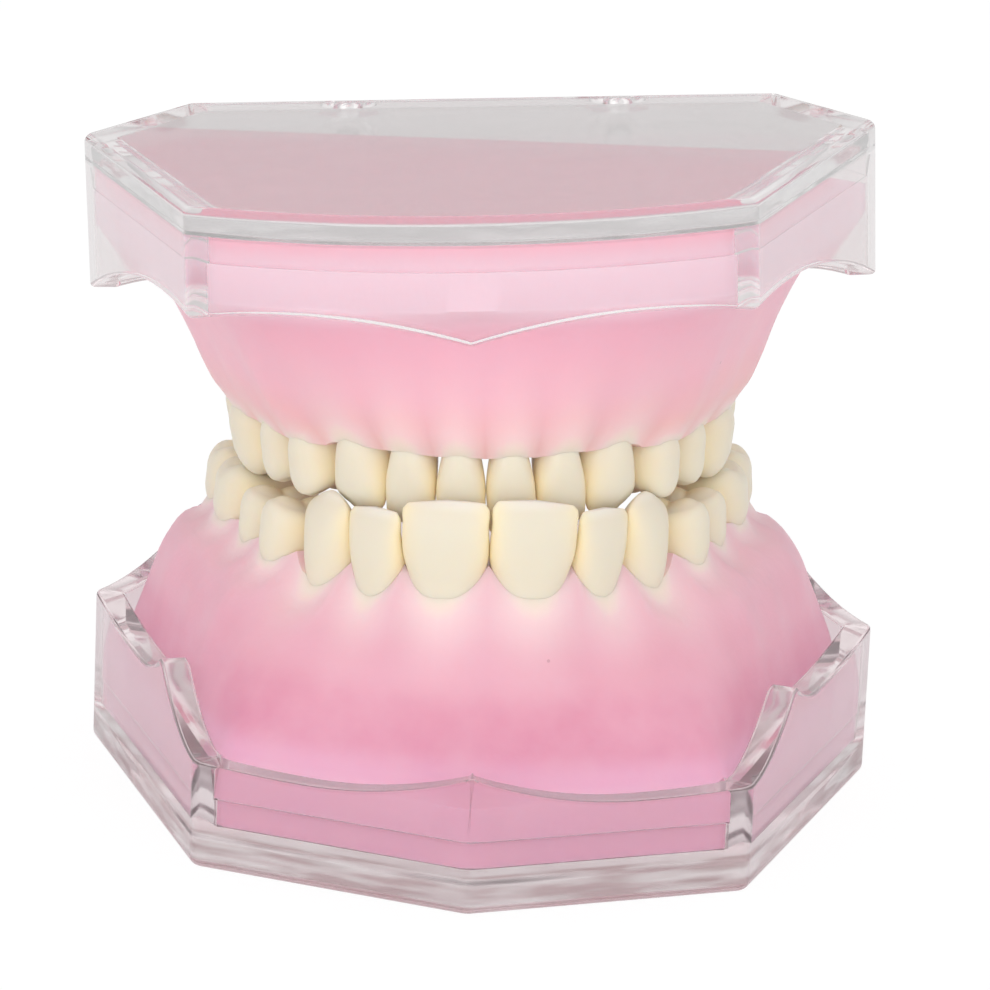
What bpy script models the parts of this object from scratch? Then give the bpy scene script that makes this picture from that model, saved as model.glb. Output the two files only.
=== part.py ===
"""Typodont: two clear moulded trays filled with pink wax gums, and twenty-eight loose teeth set in the wax.

The model stands on the tray of the upper jaw. The lower jaw is turned over and rests on the upper teeth.
Sizes are in millimetres and degrees. Each jaw is built standing on its own tray, with its teeth pointing up,
its front towards -Y and its origin under the middle of the upper tray's plan. The lower jaw is then turned
over.
"""

import math
from collections import namedtuple

import bmesh
import bpy
import numpy as np
from mathutils import Matrix, Vector

MM = 0.001
CLEARANCE = 0.3
CREASE_ANGLE = 35.0

# Plan of the trays: a back face, two heel cuts, two side walls and a front
SIDE_HALF_WIDTH = 41.7
BACK_HALF_WIDTH = 32.0
FRONT_HALF_WIDTH = 27.7
HEEL_DEPTH = 18.0
SIDE_DEPTH = 41.9
UPPER_NOSE_DEPTH = 11.0
LOWER_NOSE_DEPTH = 7.6

# Section of the trays
TRAY_WALL = 3.0
UPPER_FLOOR = 4.0
LOWER_FLOOR = 3.0
LEDGE_HEIGHT = 2.8
LEDGE_STEP = 0.4
EDGE_RADIUS = 0.7
ROUNDED_ANGLE = 18.0

# Screw bosses on the inside of each back wall
BOSS_SPACING = 29.4
BOSS_DIAMETER = 6.6
BOSS_LENGTH = 3.0
BOSS_HOLE_DIAMETER = 3.2
BOSS_ABOVE_FLOOR = 4.1
BOSS_SIDES = 20
TOOL_OVERLAP = 1.0

# Wax: how far it stays from the back wall, its level at the tray wall, and the gum margin round the teeth
WAX_BACK_GAP = 3.6
GUM_COVER = 0.6
PALATE_RUN = 4.5
RIDGE_SHARE = 0.55
GUM_MARGIN = 0.9
PAPILLA_RISE = 0.7
ROOT_BULGE = 0.5
HEEL_DROP = 0.8
TAIL_LEVEL = 0.80
# Outer face of the wax at the front: shares of the run, of the rise and of the bulge, and how late along the
# arch each row turns into the flank
FRONT_FACE = ((0.66, 0.09, 0.0, 1.0), (0.43, 0.25, 0.6, 1.2), (0.24, 0.56, 1.0, 2.0), (0.09, 0.87, 0.7, 4.0))
# Outer face of the wax at the flanks: shares of the run and of the rise
UPPER_FLANK = ((0.95, 0.20), (0.83, 0.45), (0.66, 0.69), (0.42, 0.88))
LOWER_FLANK = ((0.80, 0.19), (0.56, 0.42), (0.39, 0.65), (0.27, 0.88))
# Length along the arch over which the wax smooths out the corners of the tray
SOFT_REACH = 10.0
SOFT_STEPS = 401
# Inner face of the wax: share of the run inwards, share of the fall to the floor of the mouth
INNER_FACE = ((0.35, 0.30), (1.0, 0.80))
TAIL_INSET = 7.0
UPPER_WAX_LEVEL = 10.2
LOWER_WAX_LEVEL = 9.6
PALATE_LEVEL = 15.0
MOUTH_FLOOR_LEVEL = 13.0
# The lower wax was poured with the tray tipped, so a slanted hollow is left under its back edge
HOLLOW_START = 23.0
HOLLOW_SKEW = 0.30
HOLLOW_SLOPE = 0.40

# How the lower jaw sits on the upper one
CUSP_OVERLAP = 1.2
BITE_SHIFT_X = -2.7
BITE_SHIFT_Y = 2.1
BITE_ROLL = -3.6

# Rim of a tray above its outer floor; the places on the side wall are shares of its length from the front
Rim = namedtuple(
    "Rim", "nose front_dip front_dip_at front_corner cusp cusp_at side_dip side_dip_at side back"
)
UPPER_RIM = Rim(14.0, 10.5, 0.60, 11.1, 17.5, 0.34, 14.8, 0.52, 16.4, 22.0)
LOWER_RIM = Rim(12.7, 10.1, 0.60, 11.1, 11.1, 0.00, 10.5, 0.25, 16.6, 20.0)

# Height of each jaw's bite over its outer floor, at the cusps of the first molar
UPPER_BITE = 34.65
LOWER_BITE = 34.85

# Teeth from the midline backwards: crown and neck sizes, root length, tip over the bite, outward lean
Tooth = namedtuple("Tooth", "name kind width depth crown root neck_width neck_depth tip lean")
UPPER_TEETH = (
    Tooth("central_incisor", "incisor", 8.5, 7.0, 10.8, 12.5, 5.6, 6.0, 3.55, 7.0),
    Tooth("lateral_incisor", "incisor", 6.5, 6.0, 10.0, 12.5, 4.4, 5.0, 1.85, 7.0),
    Tooth("canine", "canine", 7.5, 7.8, 10.7, 15.0, 5.4, 6.8, 2.15, 4.0),
    Tooth("first_premolar", "premolar", 7.0, 9.0, 7.8, 13.0, 5.2, 8.0, 0.25, 2.0),
    Tooth("second_premolar", "premolar", 7.0, 9.0, 7.3, 13.0, 5.2, 8.0, -0.45, 2.0),
    Tooth("first_molar", "molar", 10.0, 11.0, 7.3, 12.0, 8.0, 10.0, 0.0, 2.0),
    Tooth("second_molar", "molar", 9.0, 10.6, 7.4, 11.0, 7.2, 9.6, -0.55, 2.0),
)
LOWER_TEETH = (
    Tooth("central_incisor", "incisor", 4.7, 5.8, 9.0, 12.0, 3.1, 5.2, -0.85, 2.0),
    Tooth("lateral_incisor", "incisor", 5.2, 6.0, 9.0, 13.0, 3.4, 5.4, -0.85, 2.0),
    Tooth("canine", "canine", 6.7, 7.2, 8.8, 15.0, 4.9, 6.4, -1.15, 2.0),
    Tooth("first_premolar", "premolar", 6.7, 7.4, 7.6, 13.5, 5.0, 6.4, -1.05, 0.0),
    Tooth("second_premolar", "premolar", 6.7, 7.8, 7.9, 13.5, 5.2, 6.8, -0.75, 0.0),
    Tooth("first_molar", "molar", 10.6, 10.2, 8.2, 12.5, 8.8, 8.8, 0.0, -2.0),
    Tooth("second_molar", "molar", 10.1, 10.0, 8.2, 12.0, 8.4, 8.6, -0.05, -2.0),
)
TOOTH_GAP = 0.28

# Dental arch in plan: half of a superellipse, set back from the nose of the tray, with straight legs behind
Arch = namedtuple("Arch", "half_width depth power setback shift yaw roll")
ARCH_LEG = 20.0
UPPER_ARCH = Arch(25.7, 74.8, 2.48, 14.9, 0.6, 2.3, 1.9)
LOWER_ARCH = Arch(22.1, 38.3, 2.10, 12.2, -0.8, -1.9, -2.0)

# Crown sections from neck to tip: height share, width share, outer and inner face as shares of the depth
CROWN_SECTIONS = {
    "incisor": (
        (0.25, 0.82, -0.47, 0.45),
        (0.55, 0.94, -0.44, 0.20),
        (0.82, 1.00, -0.34, 0.02),
        (0.95, 0.98, -0.25, -0.05),
        (1.00, 0.88, -0.20, -0.10),
    ),
    "canine": (
        (0.25, 0.86, -0.49, 0.46),
        (0.55, 1.00, -0.46, 0.32),
        (0.77, 0.88, -0.38, 0.12),
        (0.92, 0.50, -0.27, 0.00),
        (1.00, 0.16, -0.18, -0.07),
    ),
    "premolar": ((0.28, 0.96, -0.50, 0.49), (0.56, 1.00, -0.48, 0.46)),
    "molar": ((0.28, 0.97, -0.50, 0.49), (0.56, 1.00, -0.48, 0.46)),
}
# Cusps of the grinding teeth as shares of half the width and half the depth, outer side negative
Cusp = namedtuple("Cusp", "along across rise spread")
CUSPS = {
    "premolar": (Cusp(0.0, -0.46, 0.36, 0.34), Cusp(-0.06, 0.48, 0.28, 0.32)),
    "molar": (
        Cusp(-0.44, -0.48, 0.34, 0.30),
        Cusp(0.44, -0.47, 0.31, 0.29),
        Cusp(-0.42, 0.48, 0.33, 0.30),
        Cusp(0.46, 0.46, 0.27, 0.28),
    ),
}
FOSSA_LEVEL = 0.64
TABLE_SHARE = 0.80
TABLE_RINGS = (1.0, 0.62, 0.30)
ROOT_SECTIONS = ((-1.0, 0.30), (-0.55, 0.74), (0.0, 1.0))
TOOTH_SIDES = {"incisor": 14, "canine": 12, "premolar": 14, "molar": 16}
INNER_TAPER = 0.25
SQUARENESS = 2.5
DISTAL_DROP = 0.06
CONTACT_LEVEL = 0.75
SOCKET_TOP = 0.56

# Finishes: colour, roughness and how much light passes
CLEAR_PLASTIC = ("clear_plastic", (0.93, 0.94, 0.95), 0.04, 1.0)
PINK_WAX = ("pink_wax", (0.86, 0.42, 0.52), 0.38, 0.0)
IVORY_RESIN = ("ivory_resin", (0.90, 0.83, 0.66), 0.28, 0.0)

# A cross-section of the wax stands at a spot along the row of necks and faces outwards
Station = namedtuple("Station", "spot out half_depth gum bulge")

# A jaw names the side of the mouth that lies towards -X while it stands on its own tray
Jaw = namedtuple(
    "Jaw", "name minus_side nose_depth round_nose floor rim bite teeth arch flank wall_level mouth_floor"
)
UPPER = Jaw(
    name="upper",
    minus_side="left",
    nose_depth=UPPER_NOSE_DEPTH,
    round_nose=False,
    floor=UPPER_FLOOR,
    rim=UPPER_RIM,
    bite=UPPER_BITE,
    teeth=UPPER_TEETH,
    arch=UPPER_ARCH,
    flank=UPPER_FLANK,
    wall_level=UPPER_WAX_LEVEL,
    mouth_floor=PALATE_LEVEL,
)
LOWER = Jaw(
    name="lower",
    minus_side="right",
    nose_depth=LOWER_NOSE_DEPTH,
    round_nose=True,
    floor=LOWER_FLOOR,
    rim=LOWER_RIM,
    bite=LOWER_BITE,
    teeth=LOWER_TEETH,
    arch=LOWER_ARCH,
    flank=LOWER_FLANK,
    wall_level=LOWER_WAX_LEVEL,
    mouth_floor=MOUTH_FLOOR_LEVEL,
)

UP = Vector((0.0, 0.0, 1.0))
TINY = 1e-6
# Fineness of the outlines and of the wax
NOSE_STEPS = 7
SIDE_STEPS = 12
HEEL_STEPS = 3
TAIL_STEPS = 3
ARCH_STEPS = 2001
ARCH_PROBE = 0.5
STATION_SHARES = {
    "incisor": (-1.0, -0.5, 0.0, 0.5),
    "canine": (-1.0, -0.5, 0.0, 0.5),
    "premolar": (-1.0, 0.0),
    "molar": (-1.0, 0.0),
}

BACK_Y = (HEEL_DEPTH + SIDE_DEPTH + UPPER_NOSE_DEPTH) / 2
SIDE_Y = BACK_Y - HEEL_DEPTH
FRONT_Y = SIDE_Y - SIDE_DEPTH
WAX_BACK_Y = BACK_Y - TRAY_WALL - WAX_BACK_GAP


def clear_scene():
    for thing in list(bpy.data.objects):
        bpy.data.objects.remove(thing, do_unlink=True)


def finish(spec):
    name, colour, roughness, transmission = spec
    material = bpy.data.materials.new(name)
    material.use_nodes = True
    shader = material.node_tree.nodes["Principled BSDF"]
    shader.inputs["Base Color"].default_value = (*colour, 1.0)
    shader.inputs["Roughness"].default_value = roughness
    shader.inputs["Metallic"].default_value = 0.0
    shader.inputs["Transmission Weight"].default_value = transmission
    return material


def add_object(name, form, material=None, parent=None):
    """A named object from a bmesh in millimetres, with its faces pointing out and its creases kept sharp."""
    bmesh.ops.recalc_face_normals(form, faces=form.faces)
    bmesh.ops.scale(form, vec=(MM, MM, MM), verts=form.verts)
    mesh = bpy.data.meshes.new(name)
    form.to_mesh(mesh)
    form.free()
    mesh.shade_smooth()
    mesh.set_sharp_from_angle(angle=math.radians(CREASE_ANGLE))
    made = bpy.data.objects.new(name, mesh)
    bpy.context.scene.collection.objects.link(made)
    made.parent = parent
    if material:
        mesh.materials.append(material)
    else:
        made.hide_render = True
        made.display_type = "WIRE"
    return made


def combine(target, tool, operation):
    modifier = target.modifiers.new(tool.name, "BOOLEAN")
    modifier.operation = operation
    modifier.object = tool
    modifier.solver = "EXACT"


def loft(form, rings):
    """Skins closed rings of points into one tube and closes its ends."""
    loops = [[form.verts.new(point) for point in ring] for ring in rings]
    for lower, upper in zip(loops, loops[1:]):
        for i in range(len(lower)):
            k = (i + 1) % len(lower)
            form.faces.new((lower[i], lower[k], upper[k], upper[i]))
    form.faces.new(loops[0])
    form.faces.new(loops[-1])
    bmesh.ops.recalc_face_normals(form, faces=form.faces)
    return loops


# Tray


def dipped(share, ends, dip, dip_at):
    """Height of a scallop that is lowest at dip_at and curves up to both of its ends."""
    if share <= dip_at:
        away = (dip_at - share) / dip_at if dip_at else 0.0
        return dip + (ends[0] - dip) * away**2
    return dip + (ends[1] - dip) * ((share - dip_at) / (1.0 - dip_at)) ** 2


def side_rim(rim, share):
    if share < rim.cusp_at:
        return dipped(share / rim.cusp_at, (rim.front_corner, rim.cusp), rim.front_corner, 0.0)
    span = 1.0 - rim.cusp_at
    dip_at = (rim.side_dip_at - rim.cusp_at) / span
    return dipped((share - rim.cusp_at) / span, (rim.cusp, rim.side), rim.side_dip, dip_at)


def nose_point(jaw, share):
    """Point on one half of the front, from the nose at 0 to the front corner at 1."""
    nose_y = FRONT_Y - jaw.nose_depth
    if not jaw.round_nose:
        return share * FRONT_HALF_WIDTH, nose_y + share * jaw.nose_depth
    radius = (FRONT_HALF_WIDTH**2 + jaw.nose_depth**2) / (2 * jaw.nose_depth)
    angle = share * math.asin(FRONT_HALF_WIDTH / radius)
    return radius * math.sin(angle), nose_y + radius * (1 - math.cos(angle))


def tray_outline(jaw):
    """Outer plan of a tray with the height of its rim, once round from the middle of the front."""
    rim = jaw.rim
    half = []
    for i in range(NOSE_STEPS):
        share = i / NOSE_STEPS
        height = dipped(share, (rim.nose, rim.front_corner), rim.front_dip, rim.front_dip_at)
        half.append((*nose_point(jaw, share), height))
    for i in range(SIDE_STEPS):
        share = i / SIDE_STEPS
        x = FRONT_HALF_WIDTH + share * (SIDE_HALF_WIDTH - FRONT_HALF_WIDTH)
        half.append((x, FRONT_Y + share * SIDE_DEPTH, side_rim(rim, share)))
    for i in range(HEEL_STEPS):
        share = i / HEEL_STEPS
        x = SIDE_HALF_WIDTH + share * (BACK_HALF_WIDTH - SIDE_HALF_WIDTH)
        half.append((x, SIDE_Y + share * HEEL_DEPTH, rim.side + (rim.back - rim.side) * share**2))
    half.append((BACK_HALF_WIDTH, BACK_Y, rim.back))
    mirrored = [(-x, y, height) for x, y, height in reversed(half[1:])]
    return half + mirrored


def inset(outline, distance):
    """The plan moved inwards by a distance, corners mitred."""
    moved = []
    for i, here in enumerate(outline):
        before = Vector(outline[i - 1][:2])
        after = Vector(outline[(i + 1) % len(outline)][:2])
        place = Vector(here[:2])
        first = (place - before).normalized()
        second = (after - place).normalized()
        inward = Vector((-first.y - second.y, first.x + second.x)).normalized()
        mitre = distance / inward.dot(Vector((-second.y, second.x)))
        moved.append((*(place + inward * mitre), *here[2:]))
    return moved


def at_level(outline, level):
    return [(x, y, level) for x, y, _ in outline]


def tray(jaw, material, parent):
    """Tray with scalloped walls, a stepped inside and two drilled bosses on its back wall."""
    outer = tray_outline(jaw)
    inner = inset(outer, TRAY_WALL)
    sole = inset(outer, TRAY_WALL + LEDGE_STEP)
    ledge = jaw.floor + LEDGE_HEIGHT
    form = bmesh.new()
    loops = loft(
        form,
        [
            at_level(outer, 0.0),
            outer,
            inner,
            at_level(inner, ledge),
            at_level(sole, ledge),
            at_level(sole, jaw.floor),
        ],
    )
    outside = set(loops[0]) | set(loops[1])
    rounded = [
        edge
        for edge in form.edges
        if set(edge.verts) <= outside
        and not set(edge.verts) <= set(loops[1])
        and edge.calc_face_angle(0.0) > math.radians(ROUNDED_ANGLE)
    ]
    bmesh.ops.bevel(form, geom=rounded, offset=EDGE_RADIUS, segments=2, profile=0.5, affect="EDGES")
    made = add_object(f"{jaw.name}_tray", form, material, parent)
    wall_face = BACK_Y - TRAY_WALL
    boss_face = wall_face - BOSS_LENGTH
    for side in (-1, 1):
        place = (side * BOSS_SPACING / 2, jaw.floor + BOSS_ABOVE_FLOOR)
        boss_span = (boss_face, wall_face + TOOL_OVERLAP)
        boss = rod(f"{jaw.name}_boss{side:+d}", place, BOSS_DIAMETER, boss_span, parent)
        combine(made, boss, "UNION")
        drill_span = (boss_face - TOOL_OVERLAP, BACK_Y + TOOL_OVERLAP)
        drill = rod(f"{jaw.name}_drill{side:+d}", place, BOSS_HOLE_DIAMETER, drill_span, parent)
        combine(made, drill, "DIFFERENCE")
    return made


def rod(name, place, diameter, span, parent):
    """Round helper along Y over a span of y, placed by its x and z."""
    start, end = span
    middle = Matrix.Translation((place[0], (start + end) / 2, place[1]))
    form = bmesh.new()
    bmesh.ops.create_cone(
        form,
        cap_ends=True,
        segments=BOSS_SIDES,
        radius1=diameter / 2,
        radius2=diameter / 2,
        depth=end - start,
        matrix=middle @ Matrix.Rotation(math.pi / 2, 4, "X"),
    )
    return add_object(name, form, None, parent)


# Teeth


def rounded_square(angle):
    power = 2.0 / SQUARENESS
    c, s = math.cos(angle), math.sin(angle)
    return math.copysign(abs(c) ** power, c), math.copysign(abs(s) ** power, s)


def section(height, half_width, outer, inner, grow, sides):
    """Closed ring at one height: x runs away from the midline, y towards the tongue."""
    ring = []
    middle = (outer + inner) / 2
    half_depth = (inner - outer) / 2 + grow
    for i in range(sides):
        x, y = rounded_square(2 * math.pi * i / sides)
        narrowing = 1.0 - INNER_TAPER * max(0.0, y)
        ring.append((x * (half_width * narrowing + grow), middle + y * half_depth, height))
    return ring


def table_height(tooth, x, y):
    """Height of the chewing surface, with x and y as shares of half the width and half the depth."""
    rise = sum(
        cusp.rise * math.exp(-((x - cusp.along) ** 2 + (y - cusp.across) ** 2) / (2 * cusp.spread**2))
        for cusp in CUSPS[tooth.kind]
    )
    return tooth.crown * (FOSSA_LEVEL + rise)


def root_rings(tooth, grow, sides):
    rings = []
    for level, share in ROOT_SECTIONS:
        height = level * tooth.root - (grow if level == ROOT_SECTIONS[0][0] else 0.0)
        half_depth = share * tooth.neck_depth / 2
        rings.append(section(height, share * tooth.neck_width / 2, -half_depth, half_depth, grow, sides))
    return rings


def crown_rings(tooth, grow, sides):
    rings = []
    for level, width, outer, inner in CROWN_SECTIONS[tooth.kind]:
        half_width = width * tooth.width / 2
        ring = section(level * tooth.crown, half_width, outer * tooth.depth, inner * tooth.depth, grow, sides)
        drop = DISTAL_DROP * tooth.crown * max(0.0, level - CONTACT_LEVEL) / (1.0 - CONTACT_LEVEL)
        rings.append([(x, y, z - drop * max(0.0, 2 * x / tooth.width)) for x, y, z in ring])
    return rings


def table_rings(tooth, sides):
    """Rings of the chewing surface, from its edge to near its middle."""
    level, width, outer, inner = CROWN_SECTIONS[tooth.kind][-1]
    edge = section(level, width * tooth.width / 2, outer * tooth.depth, inner * tooth.depth, 0.0, sides)
    rings = []
    for share in TABLE_RINGS:
        ring = []
        for x, y, _ in edge:
            x, y = x * TABLE_SHARE * share, y * TABLE_SHARE * share
            ring.append((x, y, table_height(tooth, 2 * x / tooth.width, 2 * y / tooth.depth)))
        rings.append(ring)
    return rings


def tooth_form(tooth, side):
    sides = TOOTH_SIDES[tooth.kind]
    rings = root_rings(tooth, 0.0, sides) + crown_rings(tooth, 0.0, sides)
    if tooth.kind in CUSPS:
        rings += table_rings(tooth, sides)
    return mirrored_loft(rings, side)


def mirrored_loft(rings, side):
    """Tooth or socket for either side of the mouth: local x runs away from the midline on the +X side."""
    form = bmesh.new()
    loft(form, [[(x * side, y, z) for x, y, z in ring] for ring in rings])
    return form


def socket_form(tooth, side):
    """The root and the foot of the crown, larger all round by the clearance."""
    sides = TOOTH_SIDES[tooth.kind]
    rings = root_rings(tooth, CLEARANCE, sides)
    feet = sum(row[0] <= SOCKET_TOP for row in CROWN_SECTIONS[tooth.kind])
    return mirrored_loft(rings + crown_rings(tooth, CLEARANCE, sides)[:feet], side)


def contact_point(tooth):
    """Place on the crown, across and along the tooth, that lies on the arch."""
    levels = [row[0] for row in CROWN_SECTIONS[tooth.kind]]
    middles = [(row[2] + row[3]) / 2 for row in CROWN_SECTIONS[tooth.kind]]
    return np.interp(CONTACT_LEVEL, levels, middles) * tooth.depth, CONTACT_LEVEL * tooth.crown


# Arch


class Curve:
    """The arch of one jaw in plan, measured along its length from the midline, negative towards -X."""

    def __init__(self, jaw):
        arch = jaw.arch
        turn = np.linspace(-math.pi / 2, math.pi / 2, ARCH_STEPS)
        leg = np.linspace(0.0, ARCH_LEG, ARCH_STEPS)[1:]
        bend = arch.half_width * np.sign(turn) * np.abs(np.sin(turn)) ** (2 / arch.power)
        rise = arch.depth * (1.0 - np.abs(np.cos(turn)) ** (2 / arch.power))
        x = np.concatenate([bend[0] + 0 * leg, bend, bend[-1] + 0 * leg])
        y = np.concatenate([arch.depth + leg[::-1], rise, arch.depth + leg])
        yaw = math.radians(arch.yaw)
        self.x = arch.shift + x * math.cos(yaw) - y * math.sin(yaw)
        self.y = FRONT_Y - jaw.nose_depth + arch.setback + x * math.sin(yaw) + y * math.cos(yaw)
        steps = np.hypot(np.diff(self.x), np.diff(self.y))
        self.along = np.concatenate([[0.0], np.cumsum(steps)])
        self.along -= self.along[len(x) // 2]

    def point(self, along):
        return Vector((np.interp(along, self.along, self.x), np.interp(along, self.along, self.y)))

    def outward(self, along):
        step = self.point(along + ARCH_PROBE) - self.point(along - ARCH_PROBE)
        return Vector((step.y, -step.x)).normalized()


def tooth_places(jaw):
    """For each tooth of a jaw: its side and its middle along the arch."""
    places = []
    for side in (-1, 1):
        start = TOOTH_GAP / 2
        for tooth in jaw.teeth:
            places.append((tooth, side, side * (start + tooth.width / 2)))
            start += tooth.width + TOOTH_GAP
    return places


def tooth_matrix(jaw, curve, tooth, along):
    """Stands a tooth on the arch, upright apart from its outward lean, with its tip at its own height."""
    spot = curve.point(along)
    out = curve.outward(along).to_3d()
    forward = Vector((-out.y, out.x, 0.0))
    lean = math.radians(tooth.lean)
    up = UP * math.cos(lean) + out * math.sin(lean)
    inward = UP * math.sin(lean) - out * math.cos(lean)
    across, height = contact_point(tooth)
    neck = spot.to_3d() - inward * across - up * height
    neck.z = neck_level(jaw, tooth, spot.x)
    turn = Matrix((forward, inward, up)).transposed().to_4x4()
    return Matrix.Translation(neck * MM) @ turn


def neck_setback(tooth):
    """How far the middle of a tooth's neck lies inside the arch."""
    across, height = contact_point(tooth)
    lean = math.radians(tooth.lean)
    return height * math.sin(lean) - across * math.cos(lean)


def neck_level(jaw, tooth, x):
    lift = x * math.tan(math.radians(jaw.arch.roll))
    return jaw.bite + tooth.tip + lift - tooth.crown * math.cos(math.radians(tooth.lean))


def teeth(jaw, curve, wax, material, parent):
    """Sets the teeth of a jaw and cuts a socket for each into the wax."""
    for tooth, side, along in tooth_places(jaw):
        plus_side = "right" if jaw.minus_side == "left" else "left"
        name = f"{jaw.name}_{jaw.minus_side if side < 0 else plus_side}_{tooth.name}"
        place = tooth_matrix(jaw, curve, tooth, along)
        add_object(name, tooth_form(tooth, side), material, parent).matrix_local = place
        socket = add_object(f"{name}_socket", socket_form(tooth, side), None, parent)
        socket.matrix_local = place
        combine(wax, socket, "DIFFERENCE")


# Wax


def reach(spot, direction, outline):
    """Distance from a spot to a plan outline that surrounds it."""
    nearest = math.inf
    for i, end in enumerate(outline):
        start = Vector(outline[i - 1][:2])
        edge = Vector(end[:2]) - start
        across = direction.cross(edge)
        if abs(across) < TINY:
            continue
        distance = (start - spot).cross(edge) / across
        share = (start - spot).cross(direction) / across
        if distance > 0.0 and -TINY <= share <= 1.0 + TINY:
            nearest = min(nearest, distance)
    return nearest


def stations(jaw, curve, outline):
    """Cross-sections of the wax from its -X end to its +X end: on, between and behind the teeth."""
    places = sorted(tooth_places(jaw), key=lambda place: place[2])
    middles = [along for _, _, along in places]
    half_depths = [tooth.neck_depth / 2 for tooth, _, _ in places]
    levels = [neck_level(jaw, tooth, curve.point(along).x) + GUM_COVER for tooth, _, along in places]
    setbacks = [neck_setback(tooth) for tooth, _, _ in places]
    marks = [
        (along + share * (tooth.width + TOOTH_GAP) / 2, share**2)
        for tooth, _, along in places
        for share in STATION_SHARES[tooth.kind]
    ]
    marks.append((-marks[0][0], 1.0))
    found = []
    for along, between in marks:
        half_depth = np.interp(along, middles, half_depths)
        rise = PAPILLA_RISE if middles[0] < along < middles[-1] else -HEEL_DROP
        gum = np.interp(along, middles, levels) + rise * between
        bulge = ROOT_BULGE * (1.0 - between)
        out = curve.outward(along)
        spot = curve.point(along) - out * np.interp(along, middles, setbacks)
        found.append(Station(spot, out, half_depth, gum, bulge))
    return tail(found[0], outline)[::-1] + found + tail(found[-1], outline)


def tail(last, outline):
    """Cross-sections behind the last molar, where the wax slopes down to its back face."""
    straight = Vector((math.copysign(1.0, last.spot.x), 0.0))
    width = reach(Vector((0.0, WAX_BACK_Y)), straight, outline)
    end = Vector((straight.x * (width - TAIL_INSET), WAX_BACK_Y))
    made = []
    for step in range(1, TAIL_STEPS + 1):
        share = step / TAIL_STEPS
        out = last.out.lerp(straight, share).normalized()
        gum = last.gum * (1.0 - (1.0 - TAIL_LEVEL) * share**2)
        made.append(Station(last.spot.lerp(end, share), out, last.half_depth, gum, 0.0))
    return made


def softened(places, walls):
    """Distances to the tray wall with their kinks at the corners of the tray smoothed out."""
    steps = [(there.spot - here.spot).length for here, there in zip(places, places[1:])]
    along = np.concatenate([[0.0], np.cumsum(steps)])
    even = np.linspace(0.0, along[-1], SOFT_STEPS)
    away = np.clip((even[None, :] - along[:, None]) / SOFT_REACH, -1.0, 1.0)
    weights = np.cos(away * math.pi / 2) ** 2
    return np.minimum(weights @ np.interp(even, along, walls) / weights.sum(axis=1), walls)


def wax_profile(jaw, station, wall, soft_wall, sole):
    """Points of one cross-section, from the foot of the tray wall over the gum to the floor of the mouth."""
    spot, out, half_depth, gum, bulge = station
    half_depth = min(half_depth, RIDGE_SHARE * wall)
    margin = half_depth + GUM_MARGIN
    floor = jaw.floor + CLEARANCE
    ledge = jaw.floor + LEDGE_HEIGHT + CLEARANCE
    slope = gum - jaw.wall_level
    aside = abs(out.x)
    face = []
    for (run, rise, swell, delay), (flank_run, flank_rise) in zip(FRONT_FACE, jaw.flank):
        run += aside**delay * (flank_run - run)
        rise += aside**delay * (flank_rise - rise)
        shelf = soft_wall + (wall - soft_wall) * run**4 - margin
        face.append((margin + run * shelf + swell * bulge, jaw.wall_level + rise * slope))
    rows = [
        (sole, floor),
        (sole, ledge),
        (wall, ledge),
        (wall, jaw.wall_level),
        *face,
        (margin, gum),
        (-margin, gum),
        *((-margin - run * PALATE_RUN, gum - fall * (gum - jaw.mouth_floor)) for run, fall in INNER_FACE),
    ]
    return [(*(spot + out * distance), level) for distance, level in rows]


def wax(jaw, curve, material, parent):
    """Wax gum of one jaw: a skin over its cross-sections, closed below and behind."""
    tray_plan = tray_outline(jaw)
    outlines = [inset(tray_plan, TRAY_WALL + step + CLEARANCE) for step in (0.0, LEDGE_STEP)]
    form = bmesh.new()
    places = stations(jaw, curve, outlines[0])
    walls, soles = ([reach(place.spot, place.out, outline) for place in places] for outline in outlines)
    profiles = [wax_profile(jaw, *row) for row in zip(places, walls, softened(places, walls), soles)]
    rows = [[form.verts.new(point) for point in profile] for profile in profiles]
    for here, there in zip(rows, rows[1:]):
        for j in range(len(here) - 1):
            form.faces.new((here[j], there[j], there[j + 1], here[j + 1]))
    form.faces.new([row[0] for row in rows])
    middle = len(rows) // 2
    spine = []
    for k in range(middle):
        centre = (rows[k][-1].co + rows[-1 - k][-1].co) / 2
        centre.z = jaw.mouth_floor
        spine.append(form.verts.new(centre))
    for k in range(middle):
        ahead = spine[k + 1] if k + 1 < middle else rows[middle][-1]
        for edge in ((rows[k], rows[k + 1]), (rows[-1 - k], rows[-2 - k])):
            corners = [spine[k], edge[0][-1], edge[1][-1], ahead]
            form.faces.new(list(dict.fromkeys(corners)))
    form.faces.new(rows[0] + [spine[0]] + rows[-1][::-1])
    made = add_object(f"{jaw.name}_wax", form, material, parent)
    if jaw is LOWER:
        combine(made, hollow(jaw, parent), "DIFFERENCE")
    return made


def hollow(jaw, parent):
    """Block whose slanted top is the roof of the hollow under the back edge of the wax."""
    roof = Vector((HOLLOW_SLOPE * HOLLOW_SKEW, -HOLLOW_SLOPE, 1.0)).normalized()
    start = Vector((0.0, BACK_Y - HOLLOW_START, jaw.floor + CLEARANCE))
    side = 4 * SIDE_HALF_WIDTH
    turn = roof.to_track_quat("Z", "Y").to_matrix().to_4x4()
    place = Matrix.Translation(start - roof * side / 2) @ turn
    form = bmesh.new()
    bmesh.ops.create_cube(form, size=side, matrix=place)
    return add_object(f"{jaw.name}_hollow", form, None, parent)


# Assembly


def build(jaw, materials, parent):
    clear, pink, ivory = materials
    curve = Curve(jaw)
    tray(jaw, clear, parent)
    teeth(jaw, curve, wax(jaw, curve, pink, parent), ivory, parent)


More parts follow.
